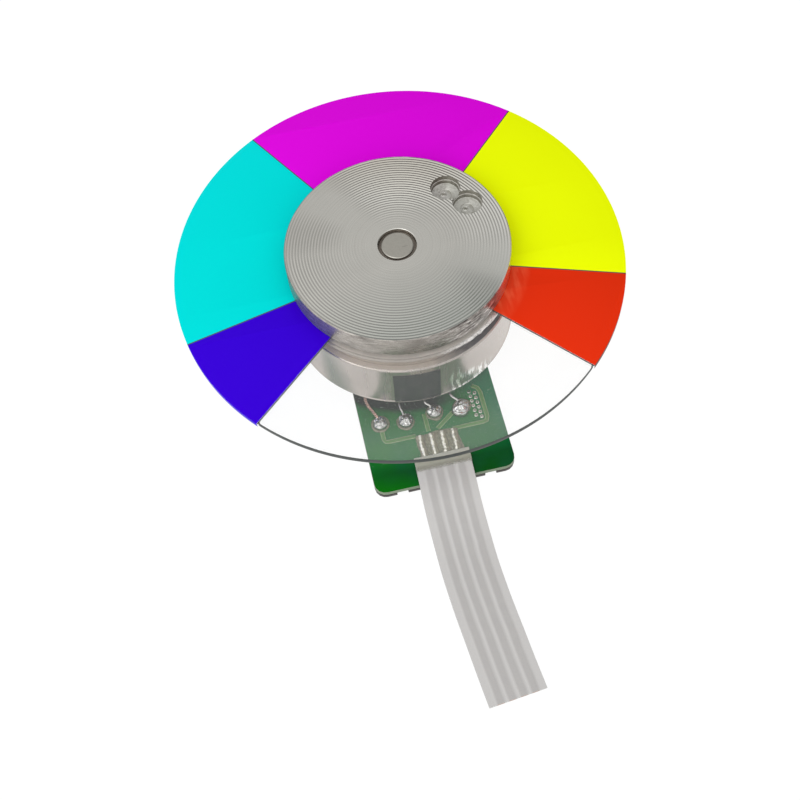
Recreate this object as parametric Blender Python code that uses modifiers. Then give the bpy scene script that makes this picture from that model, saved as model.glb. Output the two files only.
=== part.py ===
"""Projector colour wheel: a ring of filter glass on the rotor of a small external-rotor motor.

Metres, +Z up. The origin is on the spin axis, at the underside of the base plate. The circuit board and its
flat cable reach out along -Y. Angles are in degrees, counter-clockwise from +X.
"""

import math

import bmesh
import bpy

# Clearances
SEAT_GAP = 0.00003
RUNNING_GAP = 0.00003
SPIGOT_GAP = 0.00030
AIR_GAP = 0.00030

# Filter ring
GLASS_DIAMETER = 0.0400
GLASS_BORE = 0.0140
GLASS_THICKNESS = 0.0006
SEGMENT_JOINT = 0.0001
SEGMENT_STARTS = {
    "magenta_segment": 45.6,
    "cyan_segment": 121.6,
    "blue_segment": 192.5,
    "clear_segment": 221.9,
    "red_segment": 312.5,
    "yellow_segment": 341.2,
}

# Balance cap
CAP_SETBACK = 0.00005
CAP_HEIGHT = 0.00209
CAP_CHAMFER = 0.00015
POCKET_DIAMETER = 0.0026
POCKET_DEPTH = 0.0010
POCKET_TIP_ANGLE = 150.0
POCKET_RING_DIAMETER = 0.0149
POCKET_ANGLES = (42.7, 23.0)

# Rotor hub
HUB_SETBACK = 0.0003
HUB_HEIGHT = 0.00151
HUB_NECK_DEPTH = 0.00030
HUB_LIP_HEIGHT = 0.00040
HUB_REGISTER_RISE = 0.00025
HUB_SPIGOT_DIAMETER = 0.0028
HUB_SPIGOT_RECESS = 0.00010
HUB_TAIL_WALL = 0.00150
HUB_TAIL_REACH = 0.00050
HUB_CHAMFER = 0.00010
ADHESIVE_THICKNESS = 0.00006
ADHESIVE_BEAD_WIDTH = 0.00027
ADHESIVE_BEAD_DROP = 0.00035

# Rotor cup and magnet
CUP_DIAMETER = 0.0206
CUP_HEIGHT = 0.00534
CUP_WALL = 0.00050
CUP_ROOF = 0.00060
CUP_CORNER = 0.00045
CUP_CLEARANCE = 0.00112
MAGNET_THICKNESS = 0.00087
MAGNET_SETBACK = 0.00030
MAGNET_HEADROOM = 0.00070
MARK_START = 254.1
MARK_SWEEP = 23.25
MARK_TOP_SETBACK = 0.00074
MARK_SETBACK = 0.00005
MARK_THICKNESS = 0.00006

# Shaft and bearing
SHAFT_DIAMETER = 0.0020
SHAFT_PRESS_DEPTH = 0.0022
SHAFT_TIP_RADIUS = 0.00035
GROOVE_DEPTH = 0.00025
GROOVE_WIDTH = 0.00030
GROOVE_RISE = 0.00030
RETAINER_OVERHANG = 0.00060
RETAINER_THICKNESS = 0.00018
RETAINER_SLIT = 0.0008
BEARING_WALL = 0.0010
BEARING_CHAMFER = 0.00020
HOLDER_WALL = 0.00090
HOLDER_SHOULDER = 0.00080
HOLDER_FLANGE_WIDTH = 0.00060
HOLDER_FLANGE_HEIGHT = 0.00070
HOLDER_SPIGOT_STEP = 0.00090
HOLDER_RISE = 0.00030
HOLDER_CLEARANCE = 0.00050
WELL_LEDGE = 0.00020
COVER_SEAT_WIDTH = 0.00050
COVER_THICKNESS = 0.00040
PAD_THICKNESS = 0.00018

# Stator
TOOTH_COUNT = 9
FIRST_TOOTH_ANGLE = 90.0
STATOR_RISE = 0.00215
WINDING_CLEARANCE = 0.00043
CORE_RING = 0.0014
TOOTH_WIDTH = 0.0013
TOOTH_TIP_THICKNESS = 0.0005
TOOTH_SHOE_DEPTH = 0.0005
SLOT_OPENING = 0.0010
INSULATOR_THICKNESS = 0.00035
INSULATOR_INSET = 0.00030
COIL_THICKNESS = 0.00050
COIL_ROUNDING = 0.00012
COIL_CLEARANCE = 0.00008
COIL_ROOT_GAP = 0.00032

# Base plate and circuit board
PLATE_THICKNESS = 0.0005
BOARD_THICKNESS = 0.0005
DISC_INSET = 0.0011
TONGUE_WIDTH = 0.0127
TONGUE_REACH = 0.0180
TONGUE_CORNER = 0.0010
NOTCH_WIDTH = 0.0010
NOTCH_DEPTH = 0.0004
NOTCH_SPREAD = 0.0080
FIXING_HOLE = 0.0016
FIXING_RING_DIAMETER = 0.0130
FIXING_ANGLES = (90.0, 210.0, 330.0)
FIXING_CLEARANCE = 0.0005
BOARD_HOLE_CLEARANCE = 0.0001

# Connections on the board, from the left to the right
JOINT_DIAMETER = 0.00136
JOINT_HEIGHT = 0.00060
JOINT_PLACES_X = (-0.00459, -0.00230, 0.00042, 0.00303)
JOINT_SETBACKS = (0.00099, 0.00129, 0.00096, 0.00097)
LEAD_DIAMETER = 0.00025
LEAD_DIP = 0.00040
LEAD_END_GAP = 0.00006
LEAD_EXITS_X = (-0.00533, -0.00246, -0.00015, 0.00215)
LEAD_START_ANGLES = (243.0, 254.0, 285.0, 296.0)

# Flat cable: its middle line, read as a smooth curve through these points
CABLE_WIDTH = 0.0050
CABLE_THICKNESS = 0.00030
CABLE_EDGE_ROUNDING = 0.00008
CABLE_POINT_SPACING = 0.0010
CABLE_ROUTE = (
    (0.00007, -0.01555, 0.00121),
    (0.00003, -0.01700, 0.00121),
    (-0.00001, -0.01830, 0.00120),
    (-0.00004, -0.01960, 0.00105),
    (-0.00005, -0.02090, 0.00076),
    (-0.00003, -0.02240, 0.00046),
    (0.00000, -0.02400, 0.00026),
    (0.00003, -0.02550, 0.00018),
    (0.00009, -0.02700, 0.00017),
    (0.00028, -0.02970, 0.00017),
    (0.00054, -0.03240, 0.00017),
    (0.00081, -0.03520, 0.00017),
    (0.00108, -0.03774, 0.00017),
)
CONDUCTOR_COUNT = 4
CONDUCTOR_PITCH = 0.0010
CONDUCTOR_SPREAD = 0.0011
CONDUCTOR_WIDTH = 0.00045
CONDUCTOR_HEIGHT = 0.00022
CONDUCTOR_LENGTH = 0.0021
TAPE_LENGTH = 0.0014
TAPE_THICKNESS = 0.00006

# Facets
TURN_STEPS = 60
SMALL_TURN_STEPS = 30
BLOB_STEPS = 12
ARC_STEP = 3.0
DISC_ARC_STEP = 6.0
SMALL_ARC_STEP = 22.5
SHARP_ANGLE = 32.0
WELD_DISTANCE = 1e-7

# Radii, from the shaft outwards
SHAFT_RADIUS = SHAFT_DIAMETER / 2
GROOVE_RADIUS = SHAFT_RADIUS - GROOVE_DEPTH
RETAINER_RADIUS = SHAFT_RADIUS + RETAINER_OVERHANG
BEARING_RADIUS = SHAFT_RADIUS + BEARING_WALL
WELL_RADIUS = BEARING_RADIUS - WELL_LEDGE
COVER_RADIUS = WELL_RADIUS + COVER_SEAT_WIDTH
HOLDER_RADIUS = BEARING_RADIUS + HOLDER_WALL
HOLDER_SEAT_RADIUS = HOLDER_RADIUS + HOLDER_SHOULDER
HOLDER_FLANGE_RADIUS = HOLDER_SEAT_RADIUS + HOLDER_FLANGE_WIDTH
HOLDER_SPIGOT_RADIUS = HOLDER_FLANGE_RADIUS - HOLDER_SPIGOT_STEP
HUB_TAIL_RADIUS = SHAFT_RADIUS + HUB_TAIL_WALL
HUB_SPIGOT_RADIUS = HUB_SPIGOT_DIAMETER / 2
CORE_ROOT_RADIUS = HOLDER_RADIUS + CORE_RING
CUP_RADIUS = CUP_DIAMETER / 2
HUB_RADIUS = CUP_RADIUS - HUB_SETBACK
CAP_RADIUS = HUB_RADIUS - CAP_SETBACK
MAGNET_OUTER = CUP_RADIUS - CUP_WALL - SEAT_GAP
MAGNET_INNER = MAGNET_OUTER - MAGNET_THICKNESS
STATOR_RADIUS = MAGNET_INNER - AIR_GAP
COIL_START = CORE_ROOT_RADIUS + COIL_ROOT_GAP
COIL_END = STATOR_RADIUS - INSULATOR_INSET - TOOTH_TIP_THICKNESS - TOOTH_SHOE_DEPTH - COIL_CLEARANCE

# Levels of the cup, hub, glass and cap, from the base plate upwards
BOARD_BOTTOM = PLATE_THICKNESS + SEAT_GAP
BOARD_TOP = BOARD_BOTTOM + BOARD_THICKNESS
CUP_BOTTOM = BOARD_TOP + CUP_CLEARANCE
CUP_TOP = CUP_BOTTOM + CUP_HEIGHT
ROOF_LEVEL = CUP_TOP - CUP_ROOF
HUB_BOTTOM = CUP_TOP + SEAT_GAP
HUB_TOP = HUB_BOTTOM + HUB_HEIGHT
HUB_TAIL_BOTTOM = ROOF_LEVEL - HUB_TAIL_REACH
ADHESIVE_TOP = HUB_TOP + SEAT_GAP + ADHESIVE_THICKNESS
GLASS_BOTTOM = ADHESIVE_TOP + SEAT_GAP
GLASS_TOP = GLASS_BOTTOM + GLASS_THICKNESS
REGISTER_TOP = GLASS_TOP + HUB_REGISTER_RISE
CAP_BOTTOM = GLASS_TOP + SEAT_GAP
CAP_TOP = CAP_BOTTOM + CAP_HEIGHT
HUB_SPIGOT_TOP = CAP_TOP - HUB_SPIGOT_RECESS

# Levels of the bearing's pieces
PAD_BOTTOM = COVER_THICKNESS + 2 * SEAT_GAP
SHAFT_BOTTOM = PAD_BOTTOM + PAD_THICKNESS + SEAT_GAP
SHAFT_TOP = HUB_BOTTOM + SHAFT_PRESS_DEPTH
GROOVE_BOTTOM = SHAFT_BOTTOM + GROOVE_RISE
BEARING_BOTTOM = GROOVE_BOTTOM + GROOVE_WIDTH + SEAT_GAP
HOLDER_FLANGE_TOP = BOARD_BOTTOM + HOLDER_FLANGE_HEIGHT
HOLDER_TOP = HUB_TAIL_BOTTOM - HOLDER_CLEARANCE
BEARING_LENGTH = HOLDER_TOP - HOLDER_RISE - BEARING_BOTTOM

# Levels of the stator, which lies about its middle in the space that the cup leaves it
STATOR_MIDDLE = CUP_BOTTOM + STATOR_RISE
COIL_HALF_HEIGHT = ROOF_LEVEL - WINDING_CLEARANCE - STATOR_MIDDLE
WINDOW_HALF_HEIGHT = COIL_HALF_HEIGHT - COIL_THICKNESS
CORE_HALF_HEIGHT = WINDOW_HALF_HEIGHT - COIL_CLEARANCE - INSULATOR_THICKNESS - SEAT_GAP
UPPER_INSULATOR_BOTTOM = STATOR_MIDDLE + CORE_HALF_HEIGHT + SEAT_GAP
LOWER_INSULATOR_BOTTOM = STATOR_MIDDLE - WINDOW_HALF_HEIGHT + COIL_CLEARANCE
COIL_BOTTOM = STATOR_MIDDLE - COIL_HALF_HEIGHT


def empty_scene():
    for obj in list(bpy.data.objects):
        bpy.data.objects.remove(obj, do_unlink=True)


def collection(name):
    made = bpy.data.collections.new(name)
    bpy.context.scene.collection.children.link(made)
    return made


def material(name, colour, metallic, roughness, alpha=1.0):
    made = bpy.data.materials.new(name)
    made.use_nodes = True
    shader = made.node_tree.nodes["Principled BSDF"]
    shader.inputs["Base Color"].default_value = (*colour, 1.0)
    shader.inputs["Metallic"].default_value = metallic
    shader.inputs["Roughness"].default_value = roughness
    shader.inputs["Alpha"].default_value = alpha
    return made


def link(obj, look, parent, level=0.0):
    """Puts an object in the wheel's collection, on its body and at its level."""
    obj.data.materials.clear()
    obj.data.materials.append(look)
    obj.location.z = level
    obj.parent = parent
    WHEEL.objects.link(obj)
    return obj


def settle(obj):
    """Turns a curve, or a mesh with modifiers, into a plain mesh with smooth sides and sharp edges."""
    bpy.context.view_layer.update()
    evaluated = obj.evaluated_get(bpy.context.evaluated_depsgraph_get())
    mesh = bpy.data.meshes.new_from_object(evaluated)
    mesh.name = obj.name
    form = bmesh.new()
    form.from_mesh(mesh)
    bmesh.ops.remove_doubles(form, verts=form.verts, dist=WELD_DISTANCE)
    bmesh.ops.recalc_face_normals(form, faces=form.faces)
    form.to_mesh(mesh)
    form.free()
    mesh.shade_smooth()
    mesh.set_sharp_from_angle(angle=math.radians(SHARP_ANGLE))
    made = bpy.data.objects.new("settled", mesh)
    made.matrix_world = obj.matrix_world
    made.parent = obj.parent
    for owner in list(obj.users_collection):
        owner.objects.link(made)
    name = obj.name
    bpy.data.objects.remove(obj, do_unlink=True)
    made.name = name
    return made


def turned(name, profile, look, parent, level=0.0, steps=TURN_STEPS):
    """A piece turned about Z from (radius, height) points that run down its outside.

    A profile that starts and ends on the axis stays open there, and any other one is closed into a loop.
    """
    mesh = bpy.data.meshes.new(name)
    points = [(radius, 0.0, height) for radius, height in profile]
    edges = [(i, i + 1) for i in range(len(points) - 1)]
    if points[0][0] > 0.0:
        edges.append((len(points) - 1, 0))
    mesh.from_pydata(points, edges, [])
    obj = link(bpy.data.objects.new(name, mesh), look, parent, level)
    screw = obj.modifiers.new("Turn", "SCREW")
    screw.steps = steps
    screw.render_steps = steps
    screw.use_merge_vertices = True
    screw.merge_threshold = WELD_DISTANCE
    return obj


def flat(name, outlines, thickness, look, parent, level=0.0, rounding=0.0):
    """A piece cut from sheet: closed (x, y) outlines, the inner ones being holes, from its level up."""
    curve = bpy.data.curves.new(name, "CURVE")
    curve.dimensions = "2D"
    curve.fill_mode = "BOTH"
    curve.extrude = thickness / 2 - rounding
    curve.bevel_depth = rounding
    curve.bevel_resolution = 1
    curve.offset = -rounding
    for outline in outlines:
        spline = curve.splines.new("POLY")
        spline.points.add(len(outline) - 1)
        for point, (x, y) in zip(spline.points, outline):
            point.co = (x, y, 0.0, 1.0)
        spline.use_cyclic_u = True
    return link(bpy.data.objects.new(name, curve), look, parent, level + thickness / 2)


def tube(name, points, diameter, look, parent):
    """A round wire along points in space."""
    curve = bpy.data.curves.new(name, "CURVE")
    curve.dimensions = "3D"
    curve.bevel_depth = diameter / 2
    curve.bevel_resolution = 2
    curve.use_fill_caps = True
    spline = curve.splines.new("POLY")
    spline.points.add(len(points) - 1)
    for point, place in zip(spline.points, points):
        point.co = (*place, 1.0)
    return link(bpy.data.objects.new(name, curve), look, parent)


def cut(obj, cutter):
    """Takes a cutter out of a piece. The cutter stays in its own collection, out of the render."""
    cutter.hide_render = True
    cutter.display_type = "WIRE"
    CUTTERS.objects.link(cutter)
    boolean = obj.modifiers.new(cutter.name, "BOOLEAN")
    boolean.operation = "DIFFERENCE"
    boolean.object = cutter


def polar(radius, angle, centre=(0.0, 0.0)):
    turn = math.radians(angle)
    return (centre[0] + radius * math.cos(turn), centre[1] + radius * math.sin(turn))


def arc(radius, start, end, centre=(0.0, 0.0), step=ARC_STEP):
    """Points along an arc, both ends among them."""
    count = max(1, math.ceil(abs(end - start) / step - 1e-6))
    return [polar(radius, start + (end - start) * i / count, centre) for i in range(count + 1)]


def circle(radius, centre=(0.0, 0.0), step=ARC_STEP):
    return arc(radius, 0.0, 360.0, centre, step)[:-1]


def half_angle(width, radius):
    """The angle that half of a width spans at a radius."""
    return math.degrees(math.asin(width / 2 / radius))


def smooth_through(points, spacing):
    """Points at about an even spacing along a smooth curve through the given ones."""
    first = tuple(2 * a - b for a, b in zip(points[0], points[1]))
    last = tuple(2 * a - b for a, b in zip(points[-1], points[-2]))
    padded = [first, *points, last]
    found = [points[0]]
    for p0, p1, p2, p3 in zip(padded, padded[1:], padded[2:], padded[3:]):
        count = max(1, round(math.dist(p1, p2) / spacing))
        for i in range(1, count + 1):
            t = i / count
            found.append(
                tuple(
                    b + 0.5 * t * (c - a + t * (2 * a - 5 * b + 4 * c - d + t * (3 * (b - c) + d - a)))
                    for a, b, c, d in zip(p0, p1, p2, p3)
                )
            )
    return found


def filter_ring():
    """Six segments side by side, with parallel-sided joints between them."""
    names = list(SEGMENT_STARTS)
    starts = list(SEGMENT_STARTS.values())
    outer = GLASS_DIAMETER / 2
    inner = GLASS_BORE / 2
    for i, (name, start) in enumerate(zip(names, starts)):
        end = starts[(i + 1) % len(starts)]
        if end < start:
            end += 360.0
        trim_outer = half_angle(SEGMENT_JOINT, outer)
        trim_inner = half_angle(SEGMENT_JOINT, inner)
        outline = arc(outer, start + trim_outer, end - trim_outer)
        outline += arc(inner, end - trim_inner, start + trim_inner)
        flat(name, [outline], GLASS_THICKNESS, LOOKS[name], ROTOR, GLASS_BOTTOM)


def balance_cap():
    """A turned disc over the hub's register boss, with two blind pockets drilled to balance the wheel."""
    radius = CAP_RADIUS
    hole = HUB_SPIGOT_RADIUS + SPIGOT_GAP
    recess_radius = GLASS_BORE / 2
    recess_top = REGISTER_TOP + SEAT_GAP - CAP_BOTTOM
    profile = [
        (hole, CAP_HEIGHT),
        (radius - CAP_CHAMFER, CAP_HEIGHT),
        (radius, CAP_HEIGHT - CAP_CHAMFER),
        (radius, 0.0),
        (recess_radius, 0.0),
        (recess_radius, recess_top),
        (hole, recess_top),
    ]
    cap = turned("balance_cap", profile, LOOKS["cap_aluminium"], ROTOR, CAP_BOTTOM)
    for i, angle in enumerate(POCKET_ANGLES):
        drill = drill_bit(f"pocket_drill_{i + 1}")
        x, y = polar(POCKET_RING_DIAMETER / 2, angle)
        drill.location = (x, y, CAP_TOP - POCKET_DEPTH)
        cut(cap, drill)
    settle(cap)


def drill_bit(name):
    """A drill's end: a cylinder with a blunt cone below, its shoulder at the object's origin."""
    radius = POCKET_DIAMETER / 2
    tip = radius / math.tan(math.radians(POCKET_TIP_ANGLE / 2))
    form = bmesh.new()
    length = 2 * POCKET_DEPTH
    lower = bmesh.ops.create_cone(
        form, cap_ends=True, segments=SMALL_TURN_STEPS, radius1=radius, radius2=radius, depth=length
    )
    bmesh.ops.translate(form, verts=lower["verts"], vec=(0.0, 0.0, length / 2))
    floor = [face for face in form.faces if face.calc_center_median().z < length / 8 and face.normal.z < -0.5]
    poked = bmesh.ops.poke(form, faces=floor)
    for vertex in poked["verts"]:
        vertex.co.z -= tip
    bmesh.ops.recalc_face_normals(form, faces=form.faces)
    mesh = bpy.data.meshes.new(name)
    form.to_mesh(mesh)
    form.free()
    return bpy.data.objects.new(name, mesh)


def rotor_hub():
    """The turned hub: it is staked in the cup, carries the glass on its flange and centres glass and cap."""
    spigot = HUB_SPIGOT_RADIUS
    register = GLASS_BORE / 2 - SEAT_GAP
    flange = HUB_RADIUS
    neck = flange - HUB_NECK_DEPTH
    tail = HUB_TAIL_RADIUS
    bore = SHAFT_RADIUS + SEAT_GAP
    profile = [
        (0.0, HUB_SPIGOT_TOP),
        (spigot - HUB_CHAMFER, HUB_SPIGOT_TOP),
        (spigot, HUB_SPIGOT_TOP - HUB_CHAMFER),
        (spigot, REGISTER_TOP),
        (register, REGISTER_TOP),
        (register, HUB_TOP),
        (flange - HUB_CHAMFER, HUB_TOP),
        (flange, HUB_TOP - HUB_CHAMFER),
        (flange, HUB_TOP - HUB_LIP_HEIGHT),
        (neck, HUB_TOP - HUB_LIP_HEIGHT - HUB_CHAMFER),
        (neck, HUB_BOTTOM),
        (tail, HUB_BOTTOM),
        (tail, HUB_TAIL_BOTTOM),
        (bore, HUB_TAIL_BOTTOM),
        (bore, SHAFT_TOP + SEAT_GAP),
        (0.0, SHAFT_TOP + SEAT_GAP),
    ]
    settle(turned("rotor_hub", profile, LOOKS["hub_aluminium"], ROTOR))


def glass_adhesive():
    """The film between hub and glass, and the bead that it pushed out round the hub's lip."""
    lip = HUB_RADIUS + SEAT_GAP
    bead = lip + ADHESIVE_BEAD_WIDTH
    inner = GLASS_BORE / 2 + SEAT_GAP
    film_bottom = HUB_TOP + SEAT_GAP
    profile = [
        (inner, ADHESIVE_TOP),
        (bead - ADHESIVE_BEAD_WIDTH / 3, ADHESIVE_TOP),
        (bead, ADHESIVE_TOP - ADHESIVE_BEAD_DROP / 3),
        (bead - ADHESIVE_BEAD_WIDTH / 4, ADHESIVE_TOP - ADHESIVE_BEAD_DROP),
        (lip, ADHESIVE_TOP - ADHESIVE_BEAD_DROP),
        (lip, film_bottom),
        (inner, film_bottom),
    ]
    settle(turned("glass_adhesive", profile, LOOKS["adhesive"], ROTOR))


def rotor_cup():
    """The deep-drawn steel cup: a flat roof, a rounded shoulder and a straight wall open below."""
    outer = CUP_RADIUS
    inner = outer - CUP_WALL
    hole = HUB_TAIL_RADIUS + SEAT_GAP
    roof = CUP_HEIGHT - CUP_ROOF
    inside_corner = CUP_CORNER / 2
    shoulder = arc(CUP_CORNER, 90.0, 0.0, (outer - CUP_CORNER, CUP_HEIGHT - CUP_CORNER), SMALL_ARC_STEP)
    hollow = arc(inside_corner, 0.0, 90.0, (inner - inside_corner, roof - inside_corner), 2 * SMALL_ARC_STEP)
    profile = [(hole, CUP_HEIGHT), *shoulder, (outer, 0.0), (inner, 0.0), *hollow, (hole, roof)]
    settle(turned("rotor_cup", profile, LOOKS["cup_steel"], ROTOR, CUP_BOTTOM))


def rotor_magnet():
    level = CUP_BOTTOM + MAGNET_SETBACK
    height = ROOF_LEVEL - MAGNET_HEADROOM - level
    profile = [
        (MAGNET_INNER, height),
        (MAGNET_OUTER, height),
        (MAGNET_OUTER, 0.0),
        (MAGNET_INNER, 0.0),
    ]
    settle(turned("rotor_magnet", profile, LOOKS["magnet"], ROTOR, level))


def timing_mark():
    """The thin black patch on the cup's wall that the position sensor looks at."""
    inner = CUP_RADIUS + SEAT_GAP
    end = MARK_START + MARK_SWEEP
    outline = arc(inner + MARK_THICKNESS, MARK_START, end) + arc(inner, end, MARK_START)
    height = CUP_HEIGHT - MARK_TOP_SETBACK - MARK_SETBACK
    settle(flat("timing_mark", [outline], height, LOOKS["mark"], ROTOR, CUP_BOTTOM + MARK_SETBACK))


def shaft():
    """The shaft: pressed into the hub, it runs in the sleeve bearing and rests its domed tip on the pad."""
    radius = SHAFT_RADIUS
    groove = GROOVE_RADIUS
    length = SHAFT_TOP - SHAFT_BOTTOM
    groove_low = GROOVE_BOTTOM - SHAFT_BOTTOM
    groove_high = groove_low + GROOVE_WIDTH
    profile = [
        (0.0, length),
        (radius - HUB_CHAMFER, length),
        (radius, length - HUB_CHAMFER),
        (radius, groove_high),
        (groove, groove_high),
        (groove, groove_low),
        (radius, groove_low),
        (radius, SHAFT_TIP_RADIUS / 2),
        (radius - SHAFT_TIP_RADIUS, SHAFT_TIP_RADIUS / 6),
        (0.0, 0.0),
    ]
    settle(turned("shaft", profile, LOOKS["ground_steel"], ROTOR, SHAFT_BOTTOM, SMALL_TURN_STEPS))


def shaft_retainer():
    """A snap ring in the shaft's groove, open by a narrow slit. It keeps the rotor from lifting out."""
    outer = RETAINER_RADIUS
    inner = GROOVE_RADIUS + SEAT_GAP
    slit_outer = half_angle(RETAINER_SLIT, outer)
    slit_inner = half_angle(RETAINER_SLIT, inner)
    outline = arc(outer, slit_outer, 360.0 - slit_outer, step=SMALL_ARC_STEP)
    outline += arc(inner, 360.0 - slit_inner, slit_inner, step=SMALL_ARC_STEP)
    level = GROOVE_BOTTOM + (GROOVE_WIDTH - RETAINER_THICKNESS) / 2
    settle(flat("shaft_retainer", [outline], RETAINER_THICKNESS, LOOKS["retainer"], ROTOR, level))


def bearing_holder():
    """The turned holder: staked in the base plate, it carries the stator outside and the bearing inside."""
    bore = BEARING_RADIUS + SEAT_GAP
    cover = COVER_RADIUS + SEAT_GAP
    stator_seat = LOWER_INSULATOR_BOTTOM - SEAT_GAP
    profile = [
        (bore, HOLDER_TOP),
        (HOLDER_RADIUS, HOLDER_TOP),
        (HOLDER_RADIUS, stator_seat),
        (HOLDER_SEAT_RADIUS, stator_seat),
        (HOLDER_SEAT_RADIUS, HOLDER_FLANGE_TOP),
        (HOLDER_FLANGE_RADIUS, HOLDER_FLANGE_TOP),
        (HOLDER_FLANGE_RADIUS, BOARD_BOTTOM),
        (HOLDER_SPIGOT_RADIUS, BOARD_BOTTOM),
        (HOLDER_SPIGOT_RADIUS, 0.0),
        (cover, 0.0),
        (cover, COVER_THICKNESS + SEAT_GAP),
        (WELL_RADIUS, COVER_THICKNESS + SEAT_GAP),
        (WELL_RADIUS, BEARING_BOTTOM - SEAT_GAP),
        (bore, BEARING_BOTTOM - SEAT_GAP),
    ]
    settle(turned("bearing_holder", profile, LOOKS["brass"], BASE, steps=SMALL_TURN_STEPS))


def sleeve_bearing():
    outer = BEARING_RADIUS
    inner = SHAFT_RADIUS + RUNNING_GAP
    profile = [
        (inner + BEARING_CHAMFER, BEARING_LENGTH),
        (outer - BEARING_CHAMFER, BEARING_LENGTH),
        (outer, BEARING_LENGTH - BEARING_CHAMFER),
        (outer, BEARING_CHAMFER),
        (outer - BEARING_CHAMFER, 0.0),
        (inner + BEARING_CHAMFER, 0.0),
        (inner, BEARING_CHAMFER),
        (inner, BEARING_LENGTH - BEARING_CHAMFER),
    ]
    settle(turned("sleeve_bearing", profile, LOOKS["bronze"], BASE, BEARING_BOTTOM, SMALL_TURN_STEPS))


def thrust_parts():
    """The cover that closes the holder from below, and the pad on it that the shaft's tip runs on."""
    cover = circle(COVER_RADIUS, step=360.0 / SMALL_TURN_STEPS)
    settle(flat("thrust_cover", [cover], COVER_THICKNESS, LOOKS["plate_steel"], BASE))
    pad = circle(WELL_RADIUS - SEAT_GAP, step=360.0 / SMALL_TURN_STEPS)
    settle(flat("thrust_pad", [pad], PAD_THICKNESS, LOOKS["retainer"], BASE, PAD_BOTTOM))


def tooth_angles():
    return [FIRST_TOOTH_ANGLE + 360.0 * i / TOOTH_COUNT for i in range(TOOTH_COUNT)]


def stator_outline(tip_radius):
    """The star of a stator: teeth with widened tips round a ring, counter-clockwise."""
    tip_half = 180.0 / TOOTH_COUNT - half_angle(SLOT_OPENING, tip_radius)
    under_tip = tip_radius - TOOTH_TIP_THICKNESS
    shoe = under_tip - TOOTH_SHOE_DEPTH
    root = CORE_ROOT_RADIUS
    shoe_half = half_angle(TOOTH_WIDTH, shoe)
    root_half = half_angle(TOOTH_WIDTH, root)
    outline = []
    for angle in tooth_angles():
        outline.append(polar(root, angle - root_half))
        outline.append(polar(shoe, angle - shoe_half))
        outline.append(polar(under_tip, angle - tip_half))
        outline += arc(tip_radius, angle - tip_half, angle + tip_half, step=DISC_ARC_STEP)
        outline.append(polar(under_tip, angle + tip_half))
        outline.append(polar(shoe, angle + shoe_half))
        outline.append(polar(root, angle + root_half))
        outline.append(polar(root, angle + 180.0 / TOOTH_COUNT))
    return outline


def stator_core():
    """The laminated star with its two insulating end plates, all seated on the bearing holder."""
    bore = circle(HOLDER_RADIUS + SEAT_GAP, step=360.0 / SMALL_TURN_STEPS)
    core = [stator_outline(STATOR_RADIUS), bore]
    level = STATOR_MIDDLE - CORE_HALF_HEIGHT
    settle(flat("stator_core", core, 2 * CORE_HALF_HEIGHT, LOOKS["core_steel"], BASE, level))
    plate = [stator_outline(STATOR_RADIUS - INSULATOR_INSET), bore]
    levels = {"lower_insulator": LOWER_INSULATOR_BOTTOM, "upper_insulator": UPPER_INSULATOR_BOTTOM}
    for name, level in levels.items():
        settle(flat(name, plate, INSULATOR_THICKNESS, LOOKS["insulator"], BASE, level))


def rectangle(width, height):
    """Corners of a rectangle about the origin."""
    x, y = width / 2, height / 2
    return [(-x, -y), (x, -y), (x, y), (-x, y)]


def coils():
    """One coil round each tooth: a closed winding that lies between the core's ring and the tooth's tip."""
    window_width = TOOTH_WIDTH + 2 * COIL_CLEARANCE
    window = rectangle(window_width, 2 * WINDOW_HALF_HEIGHT)
    winding = rectangle(window_width + 2 * COIL_THICKNESS, 2 * COIL_HALF_HEIGHT)
    length = COIL_END - COIL_START
    middle = (COIL_START + COIL_END) / 2
    for i, angle in enumerate(tooth_angles()):
        coil = flat(f"coil_{i + 1}", [winding, window], length, LOOKS["copper"], BASE, rounding=COIL_ROUNDING)
        coil.location = (*polar(middle, angle), STATOR_MIDDLE)
        coil.rotation_euler = (math.radians(90.0), 0.0, math.radians(angle + 90.0))
        settle(coil)


def base_outline(notched):
    """A disc under the motor with a tongue along -Y. The plate's tongue has two notches in its front edge."""
    disc = CUP_RADIUS - DISC_INSET
    half = TONGUE_WIDTH / 2
    meet = math.degrees(math.asin(half / disc))
    corner = TONGUE_CORNER
    front = -TONGUE_REACH
    outline = arc(disc, -90.0 + meet, 270.0 - meet, step=DISC_ARC_STEP)
    outline += arc(corner, 180.0, 270.0, (-half + corner, front + corner), SMALL_ARC_STEP)
    if notched:
        for side in (-1, 1):
            left = side * NOTCH_SPREAD / 2 - NOTCH_WIDTH / 2
            right = left + NOTCH_WIDTH
            back = front + NOTCH_DEPTH
            outline += [(left, front), (left, back), (right, back), (right, front)]
    outline += arc(corner, 270.0, 360.0, (half - corner, front + corner), SMALL_ARC_STEP)
    return outline


def base_plate():
    """The steel plate that carries everything, with its centre hole and three fixing holes."""
    holes = [circle(HOLDER_SPIGOT_RADIUS + SEAT_GAP, step=360.0 / SMALL_TURN_STEPS)]
    for angle in FIXING_ANGLES:
        holes.append(circle(FIXING_HOLE / 2, polar(FIXING_RING_DIAMETER / 2, angle), SMALL_ARC_STEP))
    settle(flat("base_plate", [base_outline(True), *holes], PLATE_THICKNESS, LOOKS["plate_steel"], BASE))


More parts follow.
